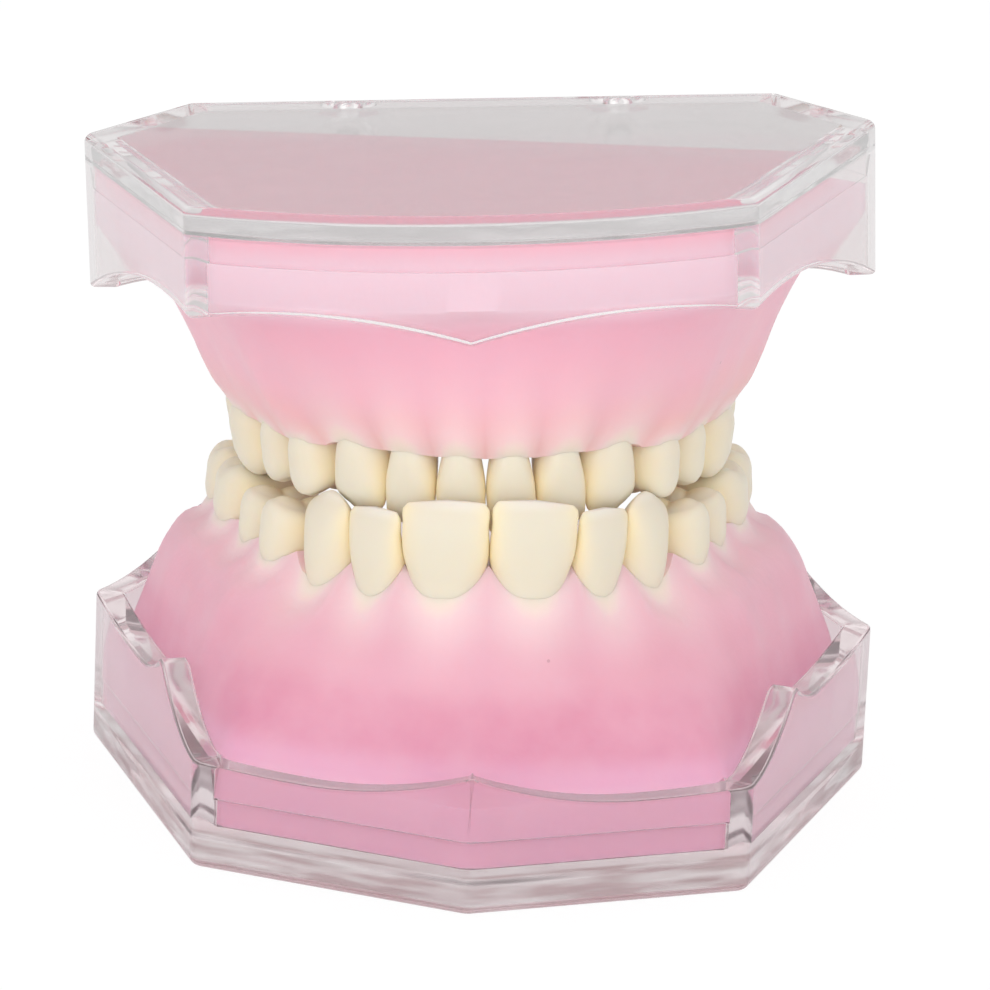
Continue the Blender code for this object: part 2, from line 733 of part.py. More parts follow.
def lower_seat():
    """Empty that turns the lower jaw over and seats it on the upper teeth."""
    seat = bpy.data.objects.new("lower_seat", None)
    bpy.context.scene.collection.objects.link(seat)
    height = UPPER_BITE + LOWER_BITE - CUSP_OVERLAP
    seat.location = Vector((BITE_SHIFT_X, BITE_SHIFT_Y, height)) * MM
    seat.rotation_euler = (0.0, math.pi + math.radians(BITE_ROLL), 0.0)
    return seat


clear_scene()
finishes = [finish(spec) for spec in (CLEAR_PLASTIC, PINK_WAX, IVORY_RESIN)]
build(UPPER, finishes, None)
build(LOWER, finishes, lower_seat())
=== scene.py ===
"""Typodont in soft studio light: clear moulded trays, pink wax gums and ivory resin teeth.

Shapes are worked out in millimetres, each jaw standing on its own tray with its teeth up and its front
towards -Y. The lower jaw is then turned over onto the upper one, and every piece is written in metres.
"""

import math
from collections import namedtuple

import bmesh
import bpy
import numpy as np
from mathutils import Matrix, Vector

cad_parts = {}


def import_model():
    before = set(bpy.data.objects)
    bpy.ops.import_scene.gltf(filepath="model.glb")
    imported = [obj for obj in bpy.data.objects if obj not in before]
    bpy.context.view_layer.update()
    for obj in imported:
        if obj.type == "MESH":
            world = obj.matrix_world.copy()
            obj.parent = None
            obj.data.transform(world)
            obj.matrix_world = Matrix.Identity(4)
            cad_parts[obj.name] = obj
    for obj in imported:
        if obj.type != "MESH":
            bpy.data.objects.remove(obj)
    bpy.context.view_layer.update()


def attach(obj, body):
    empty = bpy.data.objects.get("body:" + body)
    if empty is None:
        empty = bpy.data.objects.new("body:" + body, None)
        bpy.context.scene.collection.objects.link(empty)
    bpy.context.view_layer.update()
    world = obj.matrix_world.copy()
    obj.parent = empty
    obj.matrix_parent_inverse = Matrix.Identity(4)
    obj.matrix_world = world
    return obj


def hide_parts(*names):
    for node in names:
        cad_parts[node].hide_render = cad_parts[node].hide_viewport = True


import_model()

MM = 0.001
TINY = 1e-9
SLACK = 1e-6

# Trays
SIDE_HALF_WIDTH = 41.7
BACK_HALF_WIDTH = 32.0
FRONT_HALF_WIDTH = 27.7
HEEL_DEPTH = 18.0
SIDE_DEPTH = 41.9
UPPER_NOSE_DEPTH = 11.0
LOWER_NOSE_DEPTH = 7.6
TRAY_WALL = 3.0
LEDGE_HEIGHT = 2.8
LEDGE_STEP = 0.4
CORNER_RADIUS = 0.7
CORNER_SEGMENTS = 4
CORNER_ANGLE = 18.0
FOOT_RADIUS = 0.95
FOOT_SEGMENTS = 5
RIM_RADIUS = 0.35
RIM_SEGMENTS = 3
SQUARE_ANGLE = 60.0
# Points of the rim face up by at least this much
RIM_TILT = 0.35
TRAY_CREASE = 32.0
NOSE_STEPS = 22
SIDE_STEPS = 34
HEEL_STEPS = 10
BOSS_COUNT = 2
BOSS_SPACING = 29.4
BOSS_DIAMETER = 6.6
BOSS_LENGTH = 3.0
BOSS_HOLE_DIAMETER = 3.2
BOSS_ABOVE_FLOOR = 4.1
BOSS_SIDES = 48
BOSS_OVERLAP = 1.0

# Bite
UPPER_BITE = 34.65
LOWER_BITE = 34.85
CUSP_OVERLAP = 1.2
BITE_SHIFT = (-2.7, 2.1)
BITE_ROLL = -3.6

Rim = namedtuple(
    "Rim", "nose front_dip front_dip_at front_corner cusp cusp_at side_dip side_dip_at side back"
)
Tooth = namedtuple("Tooth", "name kind width depth crown root neck_width neck_depth tip lean")
Arch = namedtuple("Arch", "half_width depth power setback shift yaw roll")
Cusp = namedtuple("Cusp", "along across rise length breadth")
Jaw = namedtuple(
    "Jaw",
    "name body minus_side nose_depth round_nose floor rim teeth arch flank wall_level mouth_floor papilla"
    " batch place",
)

UPPER_TEETH = (
    Tooth("central_incisor", "incisor", 8.5, 7.0, 10.8, 12.5, 5.6, 6.0, 38.2, 7.0),
    Tooth("lateral_incisor", "incisor", 6.5, 6.0, 10.0, 12.5, 4.4, 5.0, 36.5, 7.0),
    Tooth("canine", "canine", 7.5, 7.8, 10.7, 15.0, 5.4, 6.8, 36.8, 4.0),
    Tooth("first_premolar", "premolar", 7.0, 9.0, 7.8, 13.0, 5.2, 8.0, 34.9, 2.0),
    Tooth("second_premolar", "premolar", 7.0, 9.0, 7.3, 13.0, 5.2, 8.0, 34.2, 2.0),
    Tooth("first_molar", "molar", 10.0, 11.0, 7.3, 12.0, 8.0, 10.0, UPPER_BITE, 2.0),
    Tooth("second_molar", "molar", 9.0, 10.6, 7.4, 11.0, 7.2, 9.6, 34.1, 2.0),
)
LOWER_TEETH = (
    Tooth("central_incisor", "incisor", 4.7, 5.8, 9.0, 12.0, 3.1, 5.2, 34.0, 2.0),
    Tooth("lateral_incisor", "incisor", 5.2, 6.0, 9.0, 13.0, 3.4, 5.4, 34.0, 2.0),
    Tooth("canine", "canine", 6.7, 7.2, 8.8, 15.0, 4.9, 6.4, 33.7, 2.0),
    Tooth("first_premolar", "premolar", 6.7, 7.4, 7.6, 13.5, 5.0, 6.4, 33.8, 0.0),
    Tooth("second_premolar", "premolar", 6.7, 7.8, 7.9, 13.5, 5.2, 6.8, 34.1, 0.0),
    Tooth("first_molar", "molar", 10.6, 10.2, 8.2, 12.5, 8.8, 8.8, LOWER_BITE, -2.0),
    Tooth("second_molar", "molar", 10.1, 10.0, 8.2, 12.0, 8.4, 8.6, 34.8, -2.0),
)
# Gap between teeth of their set widths, and the gap that their fullest crowns leave
TOOTH_GAP = 0.28
CONTACT_GAP = 0.11

# Crown sections from neck to tip: height share, width share, outer and inner face as shares of the depth
CROWN_SECTIONS = {
    "incisor": (
        (0.25, 0.88, -0.47, 0.45),
        (0.48, 1.05, -0.44, 0.24),
        (0.80, 1.06, -0.35, 0.03),
        (0.95, 1.03, -0.25, -0.05),
        (1.00, 0.93, -0.20, -0.10),
    ),
    "canine": (
        (0.25, 0.90, -0.49, 0.46),
        (0.55, 1.05, -0.46, 0.32),
        (0.77, 1.04, -0.38, 0.12),
        (0.90, 0.91, -0.28, 0.01),
        (0.96, 0.62, -0.21, -0.05),
    ),
    "premolar": ((0.28, 0.92, -0.50, 0.49), (0.56, 0.96, -0.48, 0.46)),
    "molar": ((0.28, 0.97, -0.50, 0.49), (0.56, 1.00, -0.48, 0.46)),
}
CUSPS = {
    "premolar": (Cusp(0.0, -0.46, 0.215, 0.48, 0.36), Cusp(-0.06, 0.48, 0.18, 0.50, 0.34)),
    "molar": (
        Cusp(-0.44, -0.48, 0.215, 0.34, 0.34),
        Cusp(0.44, -0.47, 0.19, 0.33, 0.33),
        Cusp(-0.42, 0.48, 0.21, 0.34, 0.34),
        Cusp(0.46, 0.46, 0.17, 0.32, 0.32),
    ),
}
ROOT_SECTIONS = ((-1.0, 0.30), (-0.55, 0.74), (0.0, 1.0))
FOSSA_LEVEL = 0.72
TABLE_SHARE = 0.68
GROOVE_DEPTH = 0.035
GROOVE_WIDTH = 0.10
LONG_GROOVE = 1.2
CROSS_GROOVE = 1.1
INNER_TAPER = 0.25
SQUARENESS = {"incisor": 2.5, "canine": 2.05, "premolar": 2.2, "molar": 2.5}
DISTAL_DROP = {"incisor": 0.06, "canine": 0.115}
CONTACT_LEVEL = 0.75
SIDE_FADE = 4.5
TOOTH_SIDES = 48
SIDE_RINGS = 30
SHOULDER_RINGS = 10
TABLE_RINGS = 10
TOOTH_CREASE = 60.0
# Rings that close a cutting edge or a canine's tip: shares of its width and depth, height above it
EDGE_RINGS = {
    "incisor": ((0.97, 0.72, 0.07), (0.94, 0.40, 0.11), (0.90, 0.10, 0.12)),
    "canine": ((0.84, 0.80, 0.17), (0.62, 0.52, 0.30), (0.34, 0.22, 0.38), (0.08, 0.06, 0.40)),
}

# Dental arches
ARCH_STEPS = 2001
ARCH_PROBE = 0.5
ARCH_LEG = 20.0
STATION_STEPS = 8
TAIL_STEPS = 6
SOFT_REACH = 10.0
SOFT_STEPS = 401

# Wax
WAX_SEAT = 0.05
WAX_BACK_GAP = 3.6
GUM_COVER = 0.3
PALATE_RUN = 4.5
PALATE_STEPS = 8
RIDGE_SHARE = 0.55
ROOT_BULGE = 0.25
PAPILLA_TUCK = {"incisor": 0.42, "canine": 0.34, "premolar": 0.20, "molar": 0.14}
TUCK_FADE = 4.0
SHELF_FADE = 3.0
CORNER_FADE = 4
VAULT_POWER = 1.5
HEEL_DROP = 0.8
FILLET_RISE = 0.6
FILLET_REACH = 1.1
FILLET_HEIGHT = 3.0
TAIL_LEVEL = 0.80
TAIL_INSET = 7.0
HOLLOW_START = 23.0
HOLLOW_SKEW = 0.30
HOLLOW_SLOPE = 0.22
WAX_CREASE = 50.0
# How far a root shows sideways and outwards through the wax, and a neck around itself and downwards
ROOT_SPREAD = 0.8
ROOT_FADE = {"incisor": 3.2, "canine": 3.2, "premolar": 1.4, "molar": 1.4}
NECK_FADE = 3.0
NECK_SINK = 2.0
# Outer face at the front: shares of the run, of the rise and of the bulge, and how late along the arch
# it turns into the flank
FRONT_FACE = (
    (0.84, 0.05, 0.0, 1.0),
    (0.66, 0.09, 0.0, 1.0),
    (0.50, 0.18, 0.3, 1.0),
    (0.32, 0.42, 1.0, 1.5),
    (0.20, 0.65, 1.0, 2.5),
    (0.10, 0.86, 0.7, 4.0),
)
# Outer face at the flanks of each jaw: shares of the run and of the rise
UPPER_FLANK = ((0.97, 0.14), (0.92, 0.30), (0.83, 0.46), (0.71, 0.64), (0.60, 0.79), (0.40, 0.92))
LOWER_FLANK = ((0.92, 0.10), (0.77, 0.23), (0.61, 0.38), (0.41, 0.60), (0.27, 0.78), (0.12, 0.93))
# Gum edge: distance outside the neck, height over the gum line
GUM_EDGE = ((0.90, -0.75), (0.40, -0.15), (0.05, 0.35))
INNER_FACE = ((0.15, 0.10), (0.35, 0.30), (0.70, 0.62), (1.0, 0.80))
FACE_STEPS = 26

# Studio
CLEAR_TINT = (0.95, 0.92, 0.92)
# Pink light of the wax painted into the clear acrylic: on the upper tray's walls and on the rims of both
# trays
WALL_PAINTED_WAX_LIGHT = (0.90, 0.82, 0.84)
RIM_PAINTED_WAX_LIGHT = (0.83, 0.68, 0.70)
FLOOR_SIZE = 3.0
FLOOR_DROP = 0.0001
LAMPS = (
    ("key", (-0.26, -0.78, 0.40), (0.0, 0.0, 0.035), 0.9, 1.35),
    ("fill", (0.40, -0.72, 0.16), (0.0, 0.0, 0.035), 0.8, 1.15),
    ("low", (-0.30, -0.74, 0.06), (0.0, 0.0, 0.040), 0.6, 1.05),
)
CAMERA_YAW = 0.006
CAMERA_PITCH = -0.252
CAMERA_ROLL = -0.044
CAMERA_AIM = (0.727, 7.45, 32.11)
CAMERA_DISTANCE = 506.2
CAMERA_SENSOR = 36.0
CAMERA_LENS = 176.2
CAMERA_SHIFT = -0.00566
CAMERA_NEAR = 0.01

BACK_Y = (HEEL_DEPTH + SIDE_DEPTH + UPPER_NOSE_DEPTH) / 2
SIDE_Y = BACK_Y - HEEL_DEPTH
FRONT_Y = SIDE_Y - SIDE_DEPTH
WAX_BACK_Y = BACK_Y - TRAY_WALL - WAX_BACK_GAP
UP = Vector((0.0, 0.0, 1.0))

SEAT = Matrix.Translation((*BITE_SHIFT, UPPER_BITE + LOWER_BITE - CUSP_OVERLAP)) @ Matrix.Rotation(
    math.pi + math.radians(BITE_ROLL), 4, "Y"
)
UPPER = Jaw(
    name="upper",
    body="upper_half",
    minus_side="left",
    nose_depth=UPPER_NOSE_DEPTH,
    round_nose=False,
    floor=4.0,
    rim=Rim(14.0, 10.5, 0.60, 11.1, 17.5, 0.34, 14.8, 0.52, 16.4, 22.0),
    teeth=UPPER_TEETH,
    arch=Arch(25.7, 74.8, 2.48, 14.9, 0.6, 2.3, 1.9),
    flank=UPPER_FLANK,
    wall_level=10.2,
    mouth_floor=15.0,
    papilla={"incisor": 3.2, "canine": 2.6, "premolar": 1.5, "molar": 0.9},
    batch=0.0,
    place=Matrix.Identity(4),
)
LOWER = Jaw(
    name="lower",
    body="lower_half",
    minus_side="right",
    nose_depth=LOWER_NOSE_DEPTH,
    round_nose=True,
    floor=3.0,
    rim=Rim(12.7, 10.1, 0.60, 11.1, 11.1, 0.00, 10.5, 0.25, 16.6, 20.0),
    teeth=LOWER_TEETH,
    arch=Arch(22.1, 38.3, 2.10, 12.2, -0.8, -1.9, -2.0),
    flank=LOWER_FLANK,
    wall_level=9.6,
    mouth_floor=13.0,
    papilla={"incisor": 0.7, "canine": 0.9, "premolar": 0.9, "molar": 0.7},
    batch=1.0,
    place=SEAT,
)


# Meshes


def smooth_rows(rows, count):
    """Rows of numbers joined by one smooth curve and read off at even steps along it."""
    rows = np.array(rows, float)
    spans = np.linalg.norm(np.diff(rows, axis=0), axis=1)
    knots = np.concatenate([[0.0], np.cumsum(spans)])
    slopes = np.gradient(rows, knots, axis=0)
    marks = np.linspace(0.0, knots[-1], count)
    found = np.clip(np.searchsorted(knots, marks, side="right") - 1, 0, len(spans) - 1)
    width = spans[found][:, None]
    t = (marks - knots[found])[:, None] / width
    leaving = slopes[found] * width
    arriving = slopes[found + 1] * width
    start = (2 * t**3 - 3 * t**2 + 1) * rows[found] + (t**3 - 2 * t**2 + t) * leaving
    end = (3 * t**2 - 2 * t**3) * rows[found + 1] + (t**3 - t**2) * arriving
    return start + end


def skin(form, rings):
    """Skins closed rings of points into one tube with closed ends."""
    loops = [[form.verts.new(point) for point in ring] for ring in rings]
    for lower, upper in zip(loops, loops[1:]):
        for i in range(len(lower)):
            k = (i + 1) % len(lower)
            form.faces.new((lower[i], lower[k], upper[k], upper[i]))
    form.faces.new(loops[0])
    form.faces.new(loops[-1])
    bmesh.ops.recalc_face_normals(form, faces=form.faces)
    return loops


def add_object(name, data):
    made = bpy.data.objects.new(name, data)
    bpy.context.scene.collection.objects.link(made)
    return made


def add_piece(name, form, material):
    """A piece from a form, both in the form's own unit."""
    mesh = bpy.data.meshes.new(name)
    form.to_mesh(mesh)
    form.free()
    mesh.materials.append(material)
    return add_object(name, mesh)


def applied(made):
    """Turns what the piece's modifiers give into its own plain mesh."""
    graph = bpy.context.evaluated_depsgraph_get()
    mesh = bpy.data.meshes.new_from_object(made.evaluated_get(graph))
    mesh.name = made.name
    made.modifiers.clear()
    made.data = mesh


def points_of(made):
    points = np.empty(len(made.data.vertices) * 3)
    made.data.vertices.foreach_get("co", points)
    return points.reshape(-1, 3)


def marked(made, name, values):
    """Writes one number per point, which the piece's material reads."""
    values = np.asarray(values, np.float32)
    made.data.attributes.new(name, "FLOAT", "POINT").data.foreach_set("value", values)


def settle(made, place, sharp_angle):
    """Moves a piece's mesh to its place, in metres, and keeps its creases sharp."""
    made.data.transform(Matrix.Scale(MM, 4) @ place)
    made.data.shade_smooth()
    made.data.set_sharp_from_angle(angle=math.radians(sharp_angle))


def hand_over(made, jaw, node):
    """Gives a finished piece to the body that carries it, in the place of a plain solid."""
    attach(made, jaw.body)
    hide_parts(node)


# Trays


def dipped(share, ends, dip, dip_at):
    """Height of a scallop that is lowest at dip_at and curves up to both of its ends."""
    if share <= dip_at:
        away = (dip_at - share) / dip_at if dip_at else 0.0
        return dip + (ends[0] - dip) * away**2
    return dip + (ends[1] - dip) * ((share - dip_at) / (1.0 - dip_at)) ** 2


def side_rim(rim, share):
    if share < rim.cusp_at:
        return dipped(share / rim.cusp_at, (rim.front_corner, rim.cusp), rim.front_corner, 0.0)
    span = 1.0 - rim.cusp_at
    dip_at = (rim.side_dip_at - rim.cusp_at) / span
    return dipped((share - rim.cusp_at) / span, (rim.cusp, rim.side), rim.side_dip, dip_at)


def nose_point(jaw, share):
    """Point on one half of the front, from the nose at 0 to the front corner at 1."""
    nose_y = FRONT_Y - jaw.nose_depth
    if not jaw.round_nose:
        return share * FRONT_HALF_WIDTH, nose_y + share * jaw.nose_depth
    radius = (FRONT_HALF_WIDTH**2 + jaw.nose_depth**2) / (2 * jaw.nose_depth)
    angle = share * math.asin(FRONT_HALF_WIDTH / radius)
    return radius * math.sin(angle), nose_y + radius * (1 - math.cos(angle))


def tray_outline(jaw):
    """Outer plan of a tray with the height of its rim, once round from the middle of the front."""
    rim = jaw.rim
    half = []
    for i in range(NOSE_STEPS):
        share = i / NOSE_STEPS
        height = dipped(share, (rim.nose, rim.front_corner), rim.front_dip, rim.front_dip_at)
        half.append((*nose_point(jaw, share), height))
    for i in range(SIDE_STEPS):
        share = i / SIDE_STEPS
        x = FRONT_HALF_WIDTH + share * (SIDE_HALF_WIDTH - FRONT_HALF_WIDTH)
        half.append((x, FRONT_Y + share * SIDE_DEPTH, side_rim(rim, share)))
    for i in range(HEEL_STEPS):
        share = i / HEEL_STEPS
        x = SIDE_HALF_WIDTH + share * (BACK_HALF_WIDTH - SIDE_HALF_WIDTH)
        half.append((x, SIDE_Y + share * HEEL_DEPTH, rim.side + (rim.back - rim.side) * share**2))
    half.append((BACK_HALF_WIDTH, BACK_Y, rim.back))
    mirrored = [(-x, y, height) for x, y, height in reversed(half[1:])]
    return half + mirrored


def inset(outline, distance):
    """The plan moved inwards by a distance, corners mitred."""
    moved = []
    for i, here in enumerate(outline):
        before = Vector(outline[i - 1][:2])
        after = Vector(outline[(i + 1) % len(outline)][:2])
        place = Vector(here[:2])
        first = (place - before).normalized()
        second = (after - place).normalized()
        inward = Vector((-first.y - second.y, first.x + second.x)).normalized()
        mitre = distance / inward.dot(Vector((-second.y, second.x)))
        moved.append((*(place + inward * mitre), *here[2:]))
    return moved


def at_level(outline, level):
    return [(x, y, level) for x, y, _ in outline]


def is_sharp(edge, angle):
    return edge.calc_face_angle(0.0) > math.radians(angle)


def rounded(form, edges, radius, segments):
    bmesh.ops.bevel(form, geom=edges, offset=radius, segments=segments, profile=0.5, affect="EDGES")


def tray_form(jaw):
    """Tray with scalloped walls, a stepped inside, rounded corners and polished rim edges."""
    outer = tray_outline(jaw)
    inner = inset(outer, TRAY_WALL)
    sole = inset(outer, TRAY_WALL + LEDGE_STEP)
    ledge = jaw.floor + LEDGE_HEIGHT
    form = bmesh.new()
    rings = [at_level(outer, 0.0), outer, inner, at_level(inner, ledge), at_level(sole, ledge)]
    loops = skin(form, rings + [at_level(sole, jaw.floor)])
    foot, rim = (set(loop) for loop in loops[:2])
    corners = [
        edge
        for edge in form.edges
        if len(foot & set(edge.verts)) == len(rim & set(edge.verts)) == 1 and is_sharp(edge, CORNER_ANGLE)
    ]
    rounded(form, corners, CORNER_RADIUS, CORNER_SEGMENTS)
    lower_edges = [
        edge
        for edge in form.edges
        if max(abs(vert.co.z) for vert in edge.verts) < SLACK and is_sharp(edge, SQUARE_ANGLE)
    ]
    rounded(form, lower_edges, FOOT_RADIUS, FOOT_SEGMENTS)
    rim_edges = [
        edge
        for edge in form.edges
        if min(vert.co.z for vert in edge.verts) > ledge + RIM_RADIUS and is_sharp(edge, SQUARE_ANGLE)
    ]
    rounded(form, rim_edges, RIM_RADIUS, RIM_SEGMENTS)
    return form


def boss_tree():
    """Geometry tree that sets a row of drilled bosses on a tray's back wall and joins them to the tray."""
    tree, given, result = new_group(
        "tray_bosses",
        "GeometryNodeTree",
        (
            ("Geometry", "NodeSocketGeometry", None),
            ("Count", "NodeSocketInt", 2),
            ("Start", "NodeSocketVector", None),
            ("Spacing", "NodeSocketVector", None),
            ("Boss Radius", "NodeSocketFloat", 3.0),
            ("Boss Length", "NodeSocketFloat", 4.0),
            ("Hole Radius", "NodeSocketFloat", 1.5),
            ("Hole Length", "NodeSocketFloat", 20.0),
            ("Material", "NodeSocketMaterial", None),
        ),
        (("Geometry", "NodeSocketGeometry"),),
    )
    line = {"Count": given["Count"], "Start Location": given["Start"], "Offset": given["Spacing"]}
    row = add_node(tree, "GeometryNodeMeshLine", line, mode="OFFSET").outputs["Mesh"]
    shape = given["Geometry"]
    for rod, operation, first in (("Boss", "UNION", "Mesh 2"), ("Hole", "DIFFERENCE", "Mesh 1")):
        size = {"Vertices": BOSS_SIDES, "Radius": given[f"{rod} Radius"], "Depth": given[f"{rod} Length"]}
        cylinder = add_node(tree, "GeometryNodeMeshCylinder", size).outputs["Mesh"]
        spread = {"Points": row, "Instance": cylinder, "Rotation": (math.pi / 2, 0.0, 0.0)}
        rods = add_node(tree, "GeometryNodeInstanceOnPoints", spread).outputs["Instances"]
        solid = add_node(tree, "GeometryNodeRealizeInstances", {"Geometry": rods}).outputs["Geometry"]
        joined = add_node(tree, "GeometryNodeMeshBoolean", operation=operation, solver="EXACT")
        tree.links.new(solid, joined.inputs["Mesh 2"])
        tree.links.new(shape, joined.inputs[first])
        shape = joined.outputs["Mesh"]
    whole = add_node(tree, "GeometryNodeRealizeInstances", {"Geometry": shape}).outputs["Geometry"]
    painting = {"Geometry": whole, "Material": given["Material"]}
    painted = add_node(tree, "GeometryNodeSetMaterial", painting)
    tree.links.new(painted.outputs["Geometry"], result["Geometry"])
    return tree


def set_inputs(modifier, values):
    """Sets a geometry modifier's named inputs by their identifiers."""
    for item in modifier.node_group.interface.items_tree:
        if item.in_out == "INPUT" and item.name in values:
            modifier[item.identifier] = values[item.name]


def tray(jaw, material, bosses):
    made = add_piece(f"{jaw.name}_tray_shell", tray_form(jaw), material)
    length = BOSS_LENGTH + BOSS_OVERLAP
    middle = BACK_Y - TRAY_WALL - BOSS_LENGTH + length / 2
    modifier = made.modifiers.new("bosses", "NODES")
    modifier.node_group = bosses
    set_inputs(
        modifier,
        {
            "Count": BOSS_COUNT,
            "Start": (-BOSS_SPACING / 2, middle, jaw.floor + BOSS_ABOVE_FLOOR),
            "Spacing": (BOSS_SPACING, 0.0, 0.0),
            "Boss Radius": BOSS_DIAMETER / 2,
            "Boss Length": length,
            "Hole Radius": BOSS_HOLE_DIAMETER / 2,
            "Hole Length": 4 * (TRAY_WALL + BOSS_LENGTH),
            "Material": material,
        },
    )
    applied(made)
    points = points_of(made)
    tilt = np.array([vert.normal.z for vert in made.data.vertices])
    lip = (tilt > RIM_TILT) & (points[:, 2] > jaw.floor + LEDGE_HEIGHT + RIM_RADIUS)
    lip &= (points[:, 1] < middle - length) | (points[:, 2] > jaw.rim.side_dip)
    marked(made, "slab_share", points[:, 2] / jaw.floor)
    # Rims that are painted pink with light from the wax, and the upper tray, whose slab gets painted
    # reflections and shade
    marked(made, "rim_share", lip)
    marked(made, "foot_share", np.full(len(points), 1.0 - jaw.batch))
    settle(made, jaw.place, TRAY_CREASE)
    made.modifiers.new("flat faces", "WEIGHTED_NORMAL").keep_sharp = True
    applied(made)
    hand_over(made, jaw, f"{jaw.name}_tray")


# Teeth


def tooth_ring(tooth, row):
    """Ring of a tooth: x runs away from the midline, y towards the tongue."""
    height, half_width, outer, inner = row
    turn = np.linspace(0.0, 2 * math.pi, TOOTH_SIDES, endpoint=False)
    c, s = np.cos(turn), np.sin(turn)
    power = 2 / SQUARENESS[tooth.kind]
    x = np.sign(c) * np.abs(c) ** power
    y = np.sign(s) * np.abs(s) ** power
    x = x * half_width * (1.0 - INNER_TAPER * np.maximum(0.0, y))
    y = (outer + inner) / 2 + y * (inner - outer) / 2
    z = np.full(TOOTH_SIDES, height)
    if tooth.kind not in CUSPS:
        share = max(0.0, height / tooth.crown - CONTACT_LEVEL) / (1.0 - CONTACT_LEVEL)
        z = z - DISTAL_DROP[tooth.kind] * tooth.crown * share * np.maximum(0.0, 2 * x / tooth.width)
    return np.stack([x, y, z], 1)


def table_height(tooth, x, y):
    """Height of the chewing surface, with x and y as shares of half the width and half the depth."""
    rise = 0.0
    for cusp in CUSPS[tooth.kind]:
        away = ((x - cusp.along) / cusp.length) ** 2 + ((y - cusp.across) / cusp.breadth) ** 2
        rise = rise + cusp.rise * np.exp(-away / 2)
    groove = np.exp(-((y / GROOVE_WIDTH) ** 2)) * np.clip(LONG_GROOVE - np.abs(x), 0, 1)
    if tooth.kind == "molar":
        cross = np.exp(-((x / GROOVE_WIDTH) ** 2)) * np.clip(CROSS_GROOVE - np.abs(y), 0, 1)
        groove = np.maximum(groove, cross)
    return tooth.crown * (FOSSA_LEVEL + rise - GROOVE_DEPTH * groove)


def tooth_rings(tooth):
    """Rings of a tooth from the end of its root to its cutting edge, its tip or the middle of its table."""
    rows = []
    for level, share in ROOT_SECTIONS:
        half_depth = share * tooth.neck_depth / 2
        rows.append((level * tooth.root, share * tooth.neck_width / 2, -half_depth, half_depth))
    widest = tooth.width + TOOTH_GAP - CONTACT_GAP
    for level, share, outer, inner in CROWN_SECTIONS[tooth.kind]:
        width = min(share * tooth.width, widest)
        rows.append((level * tooth.crown, width / 2, outer * tooth.depth, inner * tooth.depth))
    rings = [tooth_ring(tooth, row) for row in smooth_rows(rows, SIDE_RINGS)]
    if tooth.kind not in CUSPS:
        height, half_width, outer, inner = rows[-1]
        middle, half_depth = (outer + inner) / 2, (inner - outer) / 2
        for width, depth, rise in EDGE_RINGS[tooth.kind]:
            half = half_depth * depth
            row = (height + rise, half_width * width, middle - half, middle + half)
            rings.append(tooth_ring(tooth, row))
        return rings
    edge = rings[-1]
    table = edge * (TABLE_SHARE, TABLE_SHARE, 0.0)
    height = table_height(tooth, 2 * table[:, 0] / tooth.width, 2 * table[:, 1] / tooth.depth)
    for step in range(1, SHOULDER_RINGS + 1):
        turn = step / SHOULDER_RINGS * math.pi / 2
        ring = edge + (table - edge) * (1.0 - math.cos(turn))
        ring[:, 2] = edge[:, 2] + (height - edge[:, 2]) * math.sin(turn)
        rings.append(ring)
    for step in range(1, TABLE_RINGS):
        ring = table * (1.0 - step / TABLE_RINGS)
        ring[:, 2] = table_height(tooth, 2 * ring[:, 0] / tooth.width, 2 * ring[:, 1] / tooth.depth)
        rings.append(ring)
    return rings


def contact_point(tooth):
    """Place on the crown, across and along the tooth, that lies on the arch."""
    levels = [row[0] for row in CROWN_SECTIONS[tooth.kind]]
    middles = [(row[2] + row[3]) / 2 for row in CROWN_SECTIONS[tooth.kind]]
    return np.interp(CONTACT_LEVEL, levels, middles) * tooth.depth, CONTACT_LEVEL * tooth.crown


class Curve:
    """The arch of one jaw in plan, measured along its length from the midline, negative towards -X."""

    def __init__(self, jaw):
        arch = jaw.arch
        turn = np.linspace(-math.pi / 2, math.pi / 2, ARCH_STEPS)
        leg = np.linspace(0.0, ARCH_LEG, ARCH_STEPS)[1:]
        bend = arch.half_width * np.sign(turn) * np.abs(np.sin(turn)) ** (2 / arch.power)
        rise = arch.depth * (1.0 - np.abs(np.cos(turn)) ** (2 / arch.power))
        x = np.concatenate([bend[0] + 0 * leg, bend, bend[-1] + 0 * leg])
        y = np.concatenate([arch.depth + leg[::-1], rise, arch.depth + leg])
        yaw = math.radians(arch.yaw)
        self.x = arch.shift + x * math.cos(yaw) - y * math.sin(yaw)
        self.y = FRONT_Y - jaw.nose_depth + arch.setback + x * math.sin(yaw) + y * math.cos(yaw)
        steps = np.hypot(np.diff(self.x), np.diff(self.y))
        self.along = np.concatenate([[0.0], np.cumsum(steps)])
        self.along -= self.along[len(x) // 2]

    def point(self, along):
        return Vector((np.interp(along, self.along, self.x), np.interp(along, self.along, self.y)))

    def outward(self, along):
        step = self.point(along + ARCH_PROBE) - self.point(along - ARCH_PROBE)
        return Vector((step.y, -step.x)).normalized()


def tooth_places(jaw):
    """For each tooth of a jaw: its side and its middle along the arch."""
    places = []
    for side in (-1, 1):
        start = TOOTH_GAP / 2
        for tooth in jaw.teeth:
            places.append((tooth, side, side * (start + tooth.width / 2)))
            start += tooth.width + TOOTH_GAP
    return places


def neck_setback(tooth):
    """How far the middle of a tooth's neck lies inside the arch."""
    across, height = contact_point(tooth)
    lean = math.radians(tooth.lean)
    return height * math.sin(lean) - across * math.cos(lean)


def neck_level(jaw, tooth, x):
    lift = x * math.tan(math.radians(jaw.arch.roll))
    return tooth.tip + lift - tooth.crown * math.cos(math.radians(tooth.lean))


